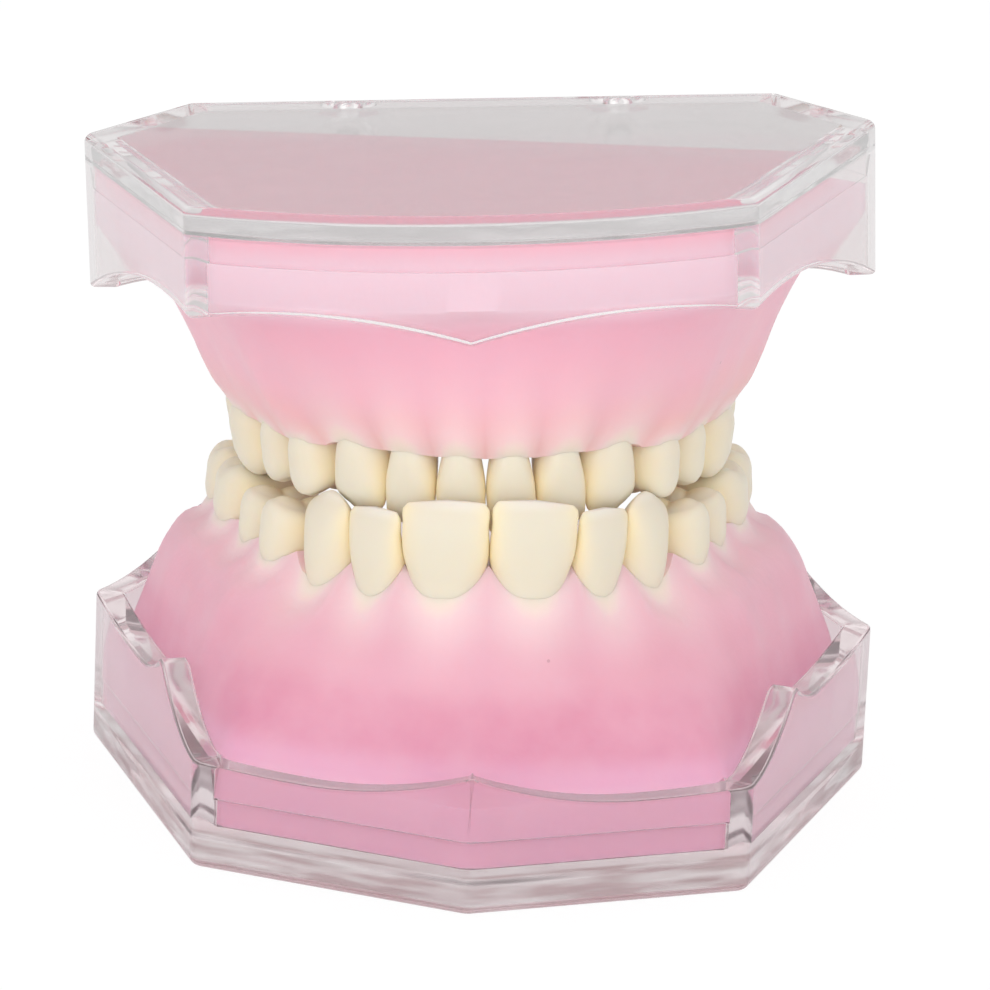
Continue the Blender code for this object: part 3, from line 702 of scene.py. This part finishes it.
def tooth_matrix(jaw, curve, tooth, along):
    """Stands a tooth on the arch, upright apart from its outward lean, with its tip at its own height."""
    spot = curve.point(along)
    out = curve.outward(along).to_3d()
    forward = Vector((-out.y, out.x, 0.0))
    lean = math.radians(tooth.lean)
    up = UP * math.cos(lean) + out * math.sin(lean)
    inward = UP * math.sin(lean) - out * math.cos(lean)
    across, height = contact_point(tooth)
    neck = spot.to_3d() - inward * across - up * height
    neck.z = neck_level(jaw, tooth, spot.x)
    return Matrix.Translation(neck) @ Matrix((forward, inward, up)).transposed().to_4x4()


def painted_shade_share(tooth, points):
    """Painted shade: 1 on faces turned to a neighbour and in the hollow of a grinding tooth, which are
    painted a warm shade colour, 0 on open faces.
    """
    x, y = np.abs(2 * points[:, 0] / tooth.width), np.abs(2 * points[:, 1] / tooth.depth)
    shade = np.clip(x, 0.0, 1.0) ** SIDE_FADE
    if tooth.kind in CUSPS:
        hollow_share = np.clip(1.0 - np.hypot(x, y) / TABLE_SHARE, 0.0, 1.0)
        shade = np.maximum(shade, np.where(points[:, 2] > 0.0, hollow_share, 0.0))
    return shade


def teeth(jaw, curve, material):
    for tooth, side, along in tooth_places(jaw):
        plus_side = "right" if jaw.minus_side == "left" else "left"
        node = f"{jaw.name}_{jaw.minus_side if side < 0 else plus_side}_{tooth.name}"
        rings = tooth_rings(tooth)
        form = bmesh.new()
        skin(form, [[(x * side, y, z) for x, y, z in ring] for ring in rings])
        made = add_piece(f"{node}_tooth", form, material)
        points = points_of(made)
        marked(made, "crown_share", points[:, 2] / tooth.crown)
        marked(made, "painted_shade_share", painted_shade_share(tooth, points))
        settle(made, jaw.place @ tooth_matrix(jaw, curve, tooth, along), TOOTH_CREASE)
        hand_over(made, jaw, node)


# Wax


def reach(spot, direction, outline):
    """Distance from a spot to a plan outline that surrounds it."""
    ends = np.array([point[:2] for point in outline])
    starts = np.roll(ends, 1, axis=0)
    edges = ends - starts
    offset = starts - np.array(spot)
    across = direction.x * edges[:, 1] - direction.y * edges[:, 0]
    across[np.abs(across) < TINY] = TINY
    distance = (offset[:, 0] * edges[:, 1] - offset[:, 1] * edges[:, 0]) / across
    share = (offset[:, 0] * direction.y - offset[:, 1] * direction.x) / across
    met = (distance > 0.0) & (share >= -SLACK) & (share <= 1.0 + SLACK)
    return distance[met].min()


Station = namedtuple("Station", "spot out half_depth tuck gum peak bulge")


def stations(jaw, curve, outline):
    """Cross-sections of the wax from its -X end to its +X end: on, between and behind the teeth."""
    places = sorted(tooth_places(jaw), key=lambda place: place[2])
    middles = [along for _, _, along in places]
    half_depths = [tooth.neck_depth / 2 for tooth, _, _ in places]
    levels = [neck_level(jaw, tooth, curve.point(along).x) + GUM_COVER for tooth, _, along in places]
    papillas = [jaw.papilla[tooth.kind] for tooth, _, _ in places]
    tucks = [PAPILLA_TUCK[tooth.kind] for tooth, _, _ in places]
    setbacks = [neck_setback(tooth) for tooth, _, _ in places]
    marks = []
    for tooth, _, along in places:
        for step in range(STATION_STEPS):
            share = 2 * step / STATION_STEPS - 1.0
            marks.append((along + share * (tooth.width + TOOTH_GAP) / 2, share))
    marks.append((-marks[0][0], 1.0))
    found = []
    for along, share in marks:
        half_depth = np.interp(along, middles, half_depths)
        rise = np.interp(along, middles, papillas) if middles[0] < along < middles[-1] else -HEEL_DROP
        gum = np.interp(along, middles, levels)
        peak = rise * share**2
        bulge = ROOT_BULGE * math.cos(share * math.pi / 2) ** 2
        out = curve.outward(along)
        spot = curve.point(along) - out * np.interp(along, middles, setbacks)
        tuck = np.interp(along, middles, tucks) * share**2
        found.append(Station(spot, out, half_depth, tuck, gum, peak, bulge))
    return tail(found[0], outline)[::-1] + found + tail(found[-1], outline)


def softened(places, walls):
    """Distances to the tray wall with their kinks at the corners of the tray smoothed out."""
    steps = [(there.spot - here.spot).length for here, there in zip(places, places[1:])]
    along = np.concatenate([[0.0], np.cumsum(steps)])
    even = np.linspace(0.0, along[-1], SOFT_STEPS)
    away = np.clip((even[None, :] - along[:, None]) / SOFT_REACH, -1.0, 1.0)
    weights = np.cos(away * math.pi / 2) ** 2
    return np.minimum(weights @ np.interp(even, along, walls) / weights.sum(axis=1), walls)


def tail(last, outline):
    """Cross-sections behind the last molar, where the wax slopes down to its back face."""
    straight = Vector((math.copysign(1.0, last.spot.x), 0.0))
    width = reach(Vector((0.0, WAX_BACK_Y)), straight, outline)
    end = Vector((straight.x * (width - TAIL_INSET), WAX_BACK_Y))
    made = []
    for step in range(1, TAIL_STEPS + 1):
        share = step / TAIL_STEPS
        out = last.out.lerp(straight, share).normalized()
        gum = last.gum * (1.0 - (1.0 - TAIL_LEVEL) * share**2)
        fading = (last.tuck * (1.0 - share), gum, last.peak * (1.0 - share), 0.0)
        made.append(Station(last.spot.lerp(end, share), out, last.half_depth, *fading))
    return made


def wax_profile(jaw, station, wall, soft_wall, sole):
    """Points of one cross-section: foot of the tray wall, outer face, gum edge, ridge, inner face."""
    spot, out, half_depth, tuck, gum, peak, bulge = station
    half_depth = min(half_depth, RIDGE_SHARE * wall)
    ridge = half_depth * (1.0 - tuck)
    edge, drop = GUM_EDGE[0]
    slope = gum + drop - jaw.wall_level
    floor = jaw.floor + WAX_SEAT
    ledge = jaw.floor + LEDGE_HEIGHT + WAX_SEAT
    aside = abs(out.x)
    face = [(wall, jaw.wall_level)]
    for (run, rise, swell, delay), (flank_run, flank_rise) in zip(FRONT_FACE, jaw.flank):
        run += aside**delay * (flank_run - run)
        rise += aside**delay * (flank_rise - rise)
        near = rise**TUCK_FADE * (1.0 - run) ** SHELF_FADE
        start = half_depth * (1.0 - tuck * near) + edge
        shelf = soft_wall + (wall - soft_wall) * run**CORNER_FADE - start
        level = jaw.wall_level + rise * slope + peak * near
        face.append((start + run * shelf + swell * bulge, level))
    face += [(ridge + away, gum + peak + rise) for away, rise in GUM_EDGE]
    inner = [(-ridge - away, gum + peak + rise) for away, rise in reversed(GUM_EDGE)]
    for run, fall in INNER_FACE:
        near = (1.0 - fall) ** TUCK_FADE
        start = half_depth * (1.0 - tuck * near) + edge
        level = gum + drop - fall * (gum + drop - jaw.mouth_floor) + peak * near
        inner.append((-start - run * PALATE_RUN, level))
    foot = [(sole, floor), (sole, ledge), (wall, ledge)]
    rows = foot + smooth_rows(face, FACE_STEPS).tolist() + smooth_rows(inner, FACE_STEPS // 2).tolist()
    return [(*(spot + out * distance), level) for distance, level in rows]


def wax_form(jaw, curve):
    """Wax gum of one jaw: a skin over its cross-sections, vaulted inside and closed below and behind."""
    plan = tray_outline(jaw)
    outlines = [inset(plan, TRAY_WALL + step + WAX_SEAT) for step in (0.0, LEDGE_STEP)]
    form = bmesh.new()
    places = stations(jaw, curve, outlines[0])
    walls, soles = ([reach(place.spot, place.out, outline) for place in places] for outline in outlines)
    profiles = [wax_profile(jaw, *row) for row in zip(places, walls, softened(places, walls), soles)]
    rows = [[form.verts.new(point) for point in profile] for profile in profiles]
    middle = len(rows) // 2
    for k in range(middle):
        left, right = rows[k], rows[-1 - k]
        start, end = left[-1].co.copy(), right[-1].co.copy()
        for step in range(1, PALATE_STEPS + 1):
            share = step / (2 * PALATE_STEPS)
            rise = (math.cos(2 * math.pi * share) + 1.0) / 2
            for row, near, far in ((left, start, end), (right, end, start)):
                if step == PALATE_STEPS and row is right:
                    row.append(left[-1])
                    continue
                spot = near.lerp(far, share)
                spot.z = jaw.mouth_floor + (near.z - jaw.mouth_floor) * rise**VAULT_POWER
                row.append(form.verts.new(spot))
    rows[middle] += [rows[middle][-1]] * PALATE_STEPS
    for here, there in zip(rows, rows[1:]):
        for j in range(len(here) - 1):
            corners = list(dict.fromkeys((here[j], there[j], there[j + 1], here[j + 1])))
            if len(corners) > 2:
                form.faces.new(corners)
    form.faces.new([row[0] for row in rows])
    form.faces.new(list(dict.fromkeys(rows[0] + rows[-1][::-1])))
    bmesh.ops.recalc_face_normals(form, faces=form.faces)
    return form


def hollow(jaw):
    """Block whose slanted top is the roof of the hollow under the back edge of the lower wax."""
    roof = Vector((HOLLOW_SLOPE * HOLLOW_SKEW, -HOLLOW_SLOPE, 1.0)).normalized()
    start = Vector((0.0, BACK_Y - HOLLOW_START, jaw.floor + WAX_SEAT))
    side = 4 * SIDE_HALF_WIDTH
    turn = roof.to_track_quat("Z", "Y").to_matrix().to_4x4()
    form = bmesh.new()
    bmesh.ops.create_cube(form, size=side, matrix=Matrix.Translation(start - roof * side / 2) @ turn)
    return form


def seen_by(tooth, along, points, jaw, curve):
    """Points in a tooth's own frame, which starts in the middle of its neck."""
    back = np.array(tooth_matrix(jaw, curve, tooth, along).inverted())
    return (points @ back[:3, :3].T + back[:3, 3]).T


def fillets(points, jaw, curve):
    """How far the wax creeps up at each of its points where it meets a tooth."""
    lift = np.zeros(len(points))
    for tooth, _, along in tooth_places(jaw):
        x, y, z = seen_by(tooth, along, points, jaw, curve)
        height, width, outer, _ = CROWN_SECTIONS[tooth.kind][0]
        belly = (0.0, height * tooth.crown)
        half_width = np.interp(z, belly, (tooth.neck_width / 2, width * tooth.width / 2))
        half_depth = np.interp(z, belly, (tooth.neck_depth / 2, -outer * tooth.depth))
        beyond = np.maximum(0.0, np.hypot(x / half_width, y / half_depth) - 1.0)
        away = beyond * np.minimum(half_width, half_depth)
        level = np.exp(-((z / FILLET_HEIGHT) ** 2))
        lift = np.maximum(lift, FILLET_RISE * level * np.exp(-((away / FILLET_REACH) ** 2)))
    return lift


def root_marks(points, jaw, curve):
    """How strongly the pale roots show through each point of the wax."""
    marks = np.zeros(len(points))
    for tooth, _, along in tooth_places(jaw):
        x, y, z = seen_by(tooth, along, points, jaw, curve)
        deep = np.clip(-z / tooth.root, 0.0, 1.0)
        half_width = tooth.neck_width / 2 + ROOT_SPREAD
        band = np.exp(-((x / half_width) ** 2))
        near = np.exp(-np.maximum(0.0, np.abs(y) - tooth.neck_depth / 2) / ROOT_FADE[tooth.kind])
        beyond = np.maximum(0.0, np.hypot(2 * x / tooth.neck_width, 2 * y / tooth.neck_depth) - 1.0)
        edge = np.exp(-beyond * tooth.neck_depth / NECK_FADE) * np.exp(-np.maximum(0.0, -z) / NECK_SINK)
        marks = np.maximum(marks, np.maximum(band * near * (1.0 - deep) ** 2, edge))
    return marks


def gum_levels(points, jaw):
    """Height of each point of the wax between the tray's rim and the gum line, from 0 to 1."""
    gum = np.mean([tooth.tip - tooth.crown for tooth in jaw.teeth])
    return np.clip((points[:, 2] - jaw.wall_level) / (gum - jaw.wall_level), 0.0, 1.0)


def painted_wall_light(points, jaw):
    """1 where the wax stands against the clear wall and 0 under it and away from it: where painted light
    makes the wax paler.
    """
    foot = 2 * (points[:, 2] - jaw.floor) / LEDGE_HEIGHT
    top = (jaw.wall_level + LEDGE_HEIGHT - points[:, 2]) / LEDGE_HEIGHT
    return np.clip(np.minimum(foot, top), 0.0, 1.0)


def wax(jaw, curve, material):
    made = add_piece(f"{jaw.name}_gum", wax_form(jaw, curve), material)
    if jaw is LOWER:
        block = add_piece("hollow_block", hollow(jaw), material)
        cut = made.modifiers.new("hollow", "BOOLEAN")
        cut.operation = "DIFFERENCE"
        cut.solver = "EXACT"
        cut.object = block
        applied(made)
        bpy.data.objects.remove(block)
    points = points_of(made)
    points[:, 2] += fillets(points, jaw, curve)
    made.data.vertices.foreach_set("co", points.ravel())
    marked(made, "root_mark", root_marks(points, jaw, curve))
    marked(made, "gum_level", gum_levels(points, jaw))
    marked(made, "batch", np.full(len(points), jaw.batch))
    # Painted light on the lower jaw's wax: paler against the clear wall and pinker on its underside, both
    # seen through the acrylic
    marked(made, "painted_wall_light", jaw.batch * painted_wall_light(points, jaw))
    marked(made, "underside", jaw.batch * (points[:, 2] < jaw.floor + LEDGE_HEIGHT / 2))
    settle(made, jaw.place, WAX_CREASE)
    hand_over(made, jaw, f"{jaw.name}_wax")


# Finishes


def fill(node, values):
    """Sets a node's inputs to plain values or links them to other nodes' outputs."""
    for name, value in values.items():
        if isinstance(value, bpy.types.NodeSocket):
            node.id_data.links.new(value, node.inputs[name])
        else:
            node.inputs[name].default_value = value


def add_node(tree, kind, values=None, **settings):
    made = tree.nodes.new(kind)
    for name, value in settings.items():
        setattr(made, name, value)
    fill(made, values or {})
    return made


def new_group(name, kind, inputs, outputs):
    """A node group with named inputs and outputs: its tree, what it is given and what it gives."""
    tree = bpy.data.node_groups.new(name, kind)
    for title, socket, value in inputs:
        made = tree.interface.new_socket(name=title, in_out="INPUT", socket_type=socket)
        if value is not None:
            made.default_value = value
    for title, socket in outputs:
        tree.interface.new_socket(name=title, in_out="OUTPUT", socket_type=socket)
    return tree, tree.nodes.new("NodeGroupInput").outputs, tree.nodes.new("NodeGroupOutput").inputs


def attribute(tree, name):
    return add_node(tree, "ShaderNodeAttribute", attribute_name=name).outputs["Fac"]


def maths(tree, operation, first, second):
    return add_node(tree, "ShaderNodeMath", {0: first, 1: second}, operation=operation).outputs[0]


def mottle_group():
    """Soft cloudy mask and a fine grain, both from the piece's own coordinates."""
    kind = "NodeSocketFloat"
    inputs = (("Cloud Scale", kind, 120.0), ("Grain Scale", kind, 1500.0))
    tree, given, result = new_group("mottle", "ShaderNodeTree", inputs, (("Cloud", kind), ("Grain", kind)))
    place = add_node(tree, "ShaderNodeTexCoord").outputs["Object"]
    for name, detail in (("Cloud", 3.0), ("Grain", 2.0)):
        values = {"Vector": place, "Scale": given[f"{name} Scale"], "Detail": detail}
        tree.links.new(add_node(tree, "ShaderNodeTexNoise", values).outputs["Fac"], result[name])
    return tree


def speck_group():
    """Sparse small specks: 1 inside a speck, 0 elsewhere."""
    kind = "NodeSocketFloat"
    inputs = (("Scale", kind, 160.0), ("Size", kind, 0.03), ("Share", kind, 0.35))
    tree, given, result = new_group("specks", "ShaderNodeTree", inputs, (("Mask", kind),))
    place = add_node(tree, "ShaderNodeTexCoord").outputs["Object"]
    cells = add_node(tree, "ShaderNodeTexVoronoi", {"Vector": place, "Scale": given["Scale"]}).outputs
    inside = maths(tree, "LESS_THAN", cells["Distance"], given["Size"])
    chosen = maths(tree, "LESS_THAN", cells["Color"], given["Share"])
    tree.links.new(maths(tree, "MULTIPLY", inside, chosen), result["Mask"])
    return tree


def new_material(name):
    material = bpy.data.materials.new(name)
    material.use_nodes = True
    tree = material.node_tree
    return material, tree, tree.nodes["Principled BSDF"]


def surface(tree, share, first, second):
    """Ends a material in a mix of two shaders."""
    mix = add_node(tree, "ShaderNodeMixShader", {0: share, 1: first, 2: second})
    tree.links.new(mix.outputs["Shader"], tree.nodes["Material Output"].inputs["Surface"])


def mottled(tree, mottle, **scales):
    values = {f"{name.title()} Scale": scale for name, scale in scales.items()}
    return add_node(tree, "ShaderNodeGroup", values, node_tree=mottle).outputs


def bumped(tree, strength, distance, height, **below):
    values = {"Strength": strength, "Distance": distance, "Height": height, **below}
    return add_node(tree, "ShaderNodeBump", values).outputs["Normal"]


def ranged(tree, value, low, high, start=0.0, end=1.0):
    """A value that runs from start to end, brought to run from low to high."""
    limits = {"Value": value, "From Min": start, "From Max": end, "To Min": low, "To Max": high}
    return add_node(tree, "ShaderNodeMapRange", limits).outputs["Result"]


def blended(tree, share, first, second):
    mix = add_node(tree, "ShaderNodeMix", data_type="RGBA")
    tree.links.new(share, mix.inputs["Factor"])
    for index, colour in ((6, first), (7, second)):
        if isinstance(colour, bpy.types.NodeSocket):
            tree.links.new(colour, mix.inputs[index])
        else:
            mix.inputs[index].default_value = (*colour, 1.0)
    return mix.outputs[2]


def ramp(tree, value, stops):
    made = add_node(tree, "ShaderNodeValToRGB", {"Fac": value})
    made.color_ramp.interpolation = "EASE"
    while len(made.color_ramp.elements) < len(stops):
        made.color_ramp.elements.new(0.5)
    for element, (place, colour) in zip(made.color_ramp.elements, stops):
        element.position = place
        element.color = (*colour, 1.0)
    return made.outputs["Color"]


def wax_finish(mottle, specks):
    """Satin pink wax: its tint runs with the height, with a painted pale band at the rim, painted shade in
    the fold and painted light on the lower jaw, paler over roots and at necks, with a few specks.
    """
    material, tree, shader = new_material("pink_wax")
    cloud = mottled(tree, mottle, cloud=160.0, grain=900.0)
    level = attribute(tree, "gum_level")
    root = attribute(tree, "root_mark")
    # One wax in two sets of colours. The upper jaw's has a painted pale band at the tray's rim and painted
    # deeper shade in its fold. The lower jaw's stops are lighter: painted light on wax that hangs face down
    # over the upper jaw.
    upper_stops = (
        (0.0, (0.78, 0.43, 0.58)),
        (0.08, (0.76, 0.38, 0.54)),
        (0.25, (0.70, 0.28, 0.40)),
        (0.42, (0.72, 0.30, 0.41)),
        (0.65, (0.76, 0.37, 0.46)),
        (1.0, (0.79, 0.46, 0.53)),
    )
    lower_stops = (
        (0.0, (0.85, 0.49, 0.61)),
        (0.25, (0.87, 0.44, 0.54)),
        (0.60, (0.88, 0.47, 0.55)),
        (0.85, (0.87, 0.46, 0.49)),
        (1.0, (0.86, 0.45, 0.43)),
    )
    bodies = (ramp(tree, level, stops) for stops in (upper_stops, lower_stops))
    colour = blended(tree, attribute(tree, "batch"), *bodies)
    for share, tint in (
        (ranged(tree, cloud["Cloud"], -0.3, 0.7), (0.81, 0.46, 0.56)),
        # Painted light on the lower jaw's wax, seen through the clear acrylic: pinker underside, paler
        # against the wall
        (attribute(tree, "underside"), (0.98, 0.47, 0.58)),
        (attribute(tree, "painted_wall_light"), (0.95, 0.68, 0.78)),
        (ranged(tree, root, 0.0, 1.15), (0.90, 0.70, 0.69)),
        (ranged(tree, root, 0.0, 1.0, 0.55), (0.84, 0.73, 0.59)),
    ):
        colour = blended(tree, share, colour, tint)
    speck = add_node(tree, "ShaderNodeGroup", node_tree=specks).outputs["Mask"]
    fill(
        shader,
        {
            "Base Color": blended(tree, ranged(tree, speck, 0.0, 0.45), colour, (0.45, 0.22, 0.26)),
            "Roughness": ranged(tree, cloud["Cloud"], 0.30, 0.46),
            "Normal": bumped(tree, 0.10, 0.0004, cloud["Grain"]),
            "Subsurface Weight": 0.4,
            "Subsurface Radius": (1.0, 0.5, 0.5),
            "Subsurface Scale": 0.002,
            "IOR": 1.44,
        },
    )
    return material


def tooth_finish(mottle):
    """Ivory resin: warm at the neck, painted a warm shade towards its neighbours and in the hollows of
    grinding teeth, paler at the edge for its clearer resin and for a painted highlight, polished unevenly.
    """
    material, tree, shader = new_material("ivory_resin")
    cloud = mottled(tree, mottle, cloud=220.0, grain=1800.0)
    stops = (
        (0.0, (0.84, 0.74, 0.60)),
        (0.14, (0.80, 0.73, 0.59)),
        (0.35, (0.77, 0.71, 0.57)),
        (0.90, (0.77, 0.72, 0.59)),
        # Paler tip: the clearer resin at the edge, and partly a painted highlight along it
        (1.0, (0.82, 0.79, 0.70)),
    )
    body = ramp(tree, attribute(tree, "crown_share"), stops)
    colour = blended(tree, ranged(tree, cloud["Cloud"], 0.0, 0.25), body, (0.77, 0.70, 0.54))
    # Painted warm shade between the teeth and in the hollows of grinding teeth
    shade = ranged(tree, attribute(tree, "painted_shade_share"), 0.0, 0.9)
    fill(
        shader,
        {
            "Base Color": blended(tree, shade, colour, (0.92, 0.78, 0.50)),
            "Roughness": ranged(tree, cloud["Cloud"], 0.34, 0.42),
            "Normal": bumped(tree, 0.02, 0.0002, cloud["Grain"]),
            "Subsurface Weight": 0.35,
            "Subsurface Radius": (1.0, 0.7, 0.4),
            "Subsurface Scale": 0.0018,
            "Specular IOR Level": 0.3,
            "IOR": 1.52,
        },
    )
    return material


def slab_noise(tree, depth, stretch, detail):
    """Noise that lies in beds along a slab, more of them in its depth with more stretch."""
    place = add_node(tree, "ShaderNodeTexCoord").outputs["Object"]
    flow = add_node(tree, "ShaderNodeVectorMath", {"Vector": place, "Scale": 90.0}, operation="SCALE")
    level = add_node(tree, "ShaderNodeCombineXYZ", {"Z": maths(tree, "MULTIPLY", depth, stretch)})
    beds = add_node(tree, "ShaderNodeVectorMath", {0: flow.outputs["Vector"], 1: level.outputs["Vector"]})
    values = {"Vector": beds.outputs["Vector"], "Scale": 1.2, "Detail": detail}
    return add_node(tree, "ShaderNodeTexNoise", values).outputs["Fac"]


def tray_finish(mottle):
    """Clear polished acrylic that lets lamp light through to the wax.

    The edge of the slab is streaked, and its colours are painted light: painted grey shade in the lower tray,
    and in the upper tray painted pink reflections of the wax and painted shade mixed in streaks. The upper
    tray's walls and the rims of both trays are painted pink with light from the wax. Light that is caught
    between its faces gets a small painted glow and then passes straight on.
    """
    material, tree, shader = new_material("clear_plastic")
    cloud = mottled(tree, mottle, cloud=90.0)["Cloud"]
    depth = attribute(tree, "slab_share")
    none, full = (0.0,) * 3, (1.0,) * 3
    inside = ramp(tree, depth, ((0.05, none), (0.25, full), (0.75, full), (0.95, none)))
    streaks = maths(tree, "MULTIPLY", slab_noise(tree, depth, 1.0, 1.0), inside)
    half_share = maths(tree, "MULTIPLY", depth, 0.5)
    painted_light_tints = []
    # Painted light in slab and walls, one row per tray: painted grey shade for the lower tray; for the upper
    # tray painted pink reflections of the wax and painted shade, mixed in streaks, with painted pink light of
    # the wax on its walls
    for line, slab, wall in (
        ((0.78, 0.77, 0.77), (0.76, 0.75, 0.75), CLEAR_TINT),
        ((0.74, 0.44, 0.48), (0.48, 0.33, 0.34), WALL_PAINTED_WAX_LIGHT),
        ((0.84, 0.58, 0.62), (0.92, 0.88, 0.88), WALL_PAINTED_WAX_LIGHT),
    ):
        bands = ((0.0, CLEAR_TINT), (0.01, line), (0.09, line), (0.13, slab), (0.49, slab), (0.52, wall))
        painted_light_tints.append(ramp(tree, half_share, bands))
    drift = ranged(tree, slab_noise(tree, depth, 3.0, 2.0), 0.0, 1.0, 0.38, 0.62)
    tint = blended(tree, attribute(tree, "foot_share"), painted_light_tints[0], blended(tree, drift, *painted_light_tints[1:]))
    path = add_node(tree, "ShaderNodeLightPath").outputs
    trapped, spent = (maths(tree, "GREATER_THAN", path["Glossy Depth"], limit) for limit in (2.5, 3.5))
    polish = bumped(tree, 0.02, 0.0003, cloud)
    fill(
        shader,
        {
            # Rims painted pink with light from the wax
            "Base Color": blended(tree, attribute(tree, "rim_share"), tint, RIM_PAINTED_WAX_LIGHT),
            "Roughness": ranged(tree, cloud, 0.02, 0.12),
            "Normal": bumped(tree, 0.40, 0.0006, streaks, Normal=polish),
            "Transmission Weight": 1.0,
            "IOR": 1.49,
            # Painted glow, pinkish, for light caught between the faces
            "Emission Color": (0.88, 0.74, 0.75, 1.0),
            "Emission Strength": ranged(tree, trapped, 0.0, 0.09),
        },
    )
    unseen = maths(tree, "MAXIMUM", path["Is Shadow Ray"], path["Is Diffuse Ray"])
    clear = add_node(tree, "ShaderNodeBsdfTransparent", {"Color": (0.95, 0.94, 0.94, 1.0)})
    passing = maths(tree, "MAXIMUM", unseen, spent)
    surface(tree, passing, shader.outputs["BSDF"], clear.outputs["BSDF"])
    return material


# Studio


def floor():
    """Pale floor that the camera sees almost white, with a soft shadow of the object on it."""
    material, tree, shader = new_material("pale_floor")
    fill(shader, {"Base Color": (0.93, 0.93, 0.93, 1.0), "Roughness": 0.8})
    glow = add_node(tree, "ShaderNodeEmission", {"Color": (1.0, 1.0, 1.0, 1.0), "Strength": 1.03})
    path = add_node(tree, "ShaderNodeLightPath").outputs
    straight = ranged(tree, path["Is Camera Ray"], 0.0, 0.90)
    through = ranged(tree, path["Is Transmission Ray"], 0.0, 0.05)
    share = maths(tree, "MAXIMUM", straight, through)
    surface(tree, share, shader.outputs["BSDF"], glow.outputs["Emission"])
    form = bmesh.new()
    place = Matrix.Translation((0.0, 0.0, -FLOOR_DROP))
    bmesh.ops.create_grid(form, x_segments=1, y_segments=1, size=FLOOR_SIZE, matrix=place)
    add_piece("floor", form, material)


def world():
    """White backdrop for the camera; softer greys near the horizon for reflections and clear walls."""
    made = bpy.data.worlds.new("studio")
    bpy.context.scene.world = made
    made.use_nodes = True
    tree = made.node_tree
    direction = add_node(tree, "ShaderNodeTexCoord").outputs["Generated"]
    split = add_node(tree, "ShaderNodeSeparateXYZ", {"Vector": direction})
    height = ranged(tree, split.outputs["Z"], 0.0, 1.0, 0.0, 0.6)
    greys = blended(tree, height, (0.46, 0.46, 0.46), (0.95, 0.95, 0.95))
    path = add_node(tree, "ShaderNodeLightPath").outputs
    lighting = blended(tree, path["Is Diffuse Ray"], greys, (0.86, 0.86, 0.86))
    seen = blended(tree, path["Is Camera Ray"], lighting, (1.0, 1.0, 1.0))
    fill(tree.nodes["Background"], {"Color": seen})


def lamp(name, place, target, size, power):
    data = bpy.data.lights.new(name, "AREA")
    data.shape = "SQUARE"
    data.size = size
    data.energy = power
    made = add_object(name, data)
    made.location = place
    made.rotation_euler = (Vector(target) - Vector(place)).to_track_quat("-Z", "Y").to_euler()


def camera():
    """Camera at the viewing angle of the photograph."""
    tilt = Matrix.Rotation(CAMERA_PITCH, 3, "X") @ Matrix.Rotation(CAMERA_ROLL, 3, "Y")
    right, ahead, up = (Matrix.Rotation(CAMERA_YAW, 3, "Z") @ tilt).col
    place = (Vector(CAMERA_AIM) - CAMERA_DISTANCE * ahead) * MM
    data = bpy.data.cameras.new("camera")
    data.sensor_width = CAMERA_SENSOR
    data.lens = CAMERA_LENS
    data.shift_y = CAMERA_SHIFT
    data.clip_start = CAMERA_NEAR
    made = add_object("camera", data)
    made.matrix_world = Matrix.Translation(place) @ Matrix((right, up, -ahead)).transposed().to_4x4()
    bpy.context.scene.camera = made


mottling = mottle_group()
acrylic = tray_finish(mottling)
pink_wax = wax_finish(mottling, speck_group())
ivory = tooth_finish(mottling)
boss_row = boss_tree()
for half in (UPPER, LOWER):
    arch_curve = Curve(half)
    tray(half, acrylic, boss_row)
    wax(half, arch_curve, pink_wax)
    teeth(half, arch_curve, ivory)

floor()
world()
for row in LAMPS:
    lamp(*row)
camera()
bpy.context.scene.view_settings.view_transform = "Standard"
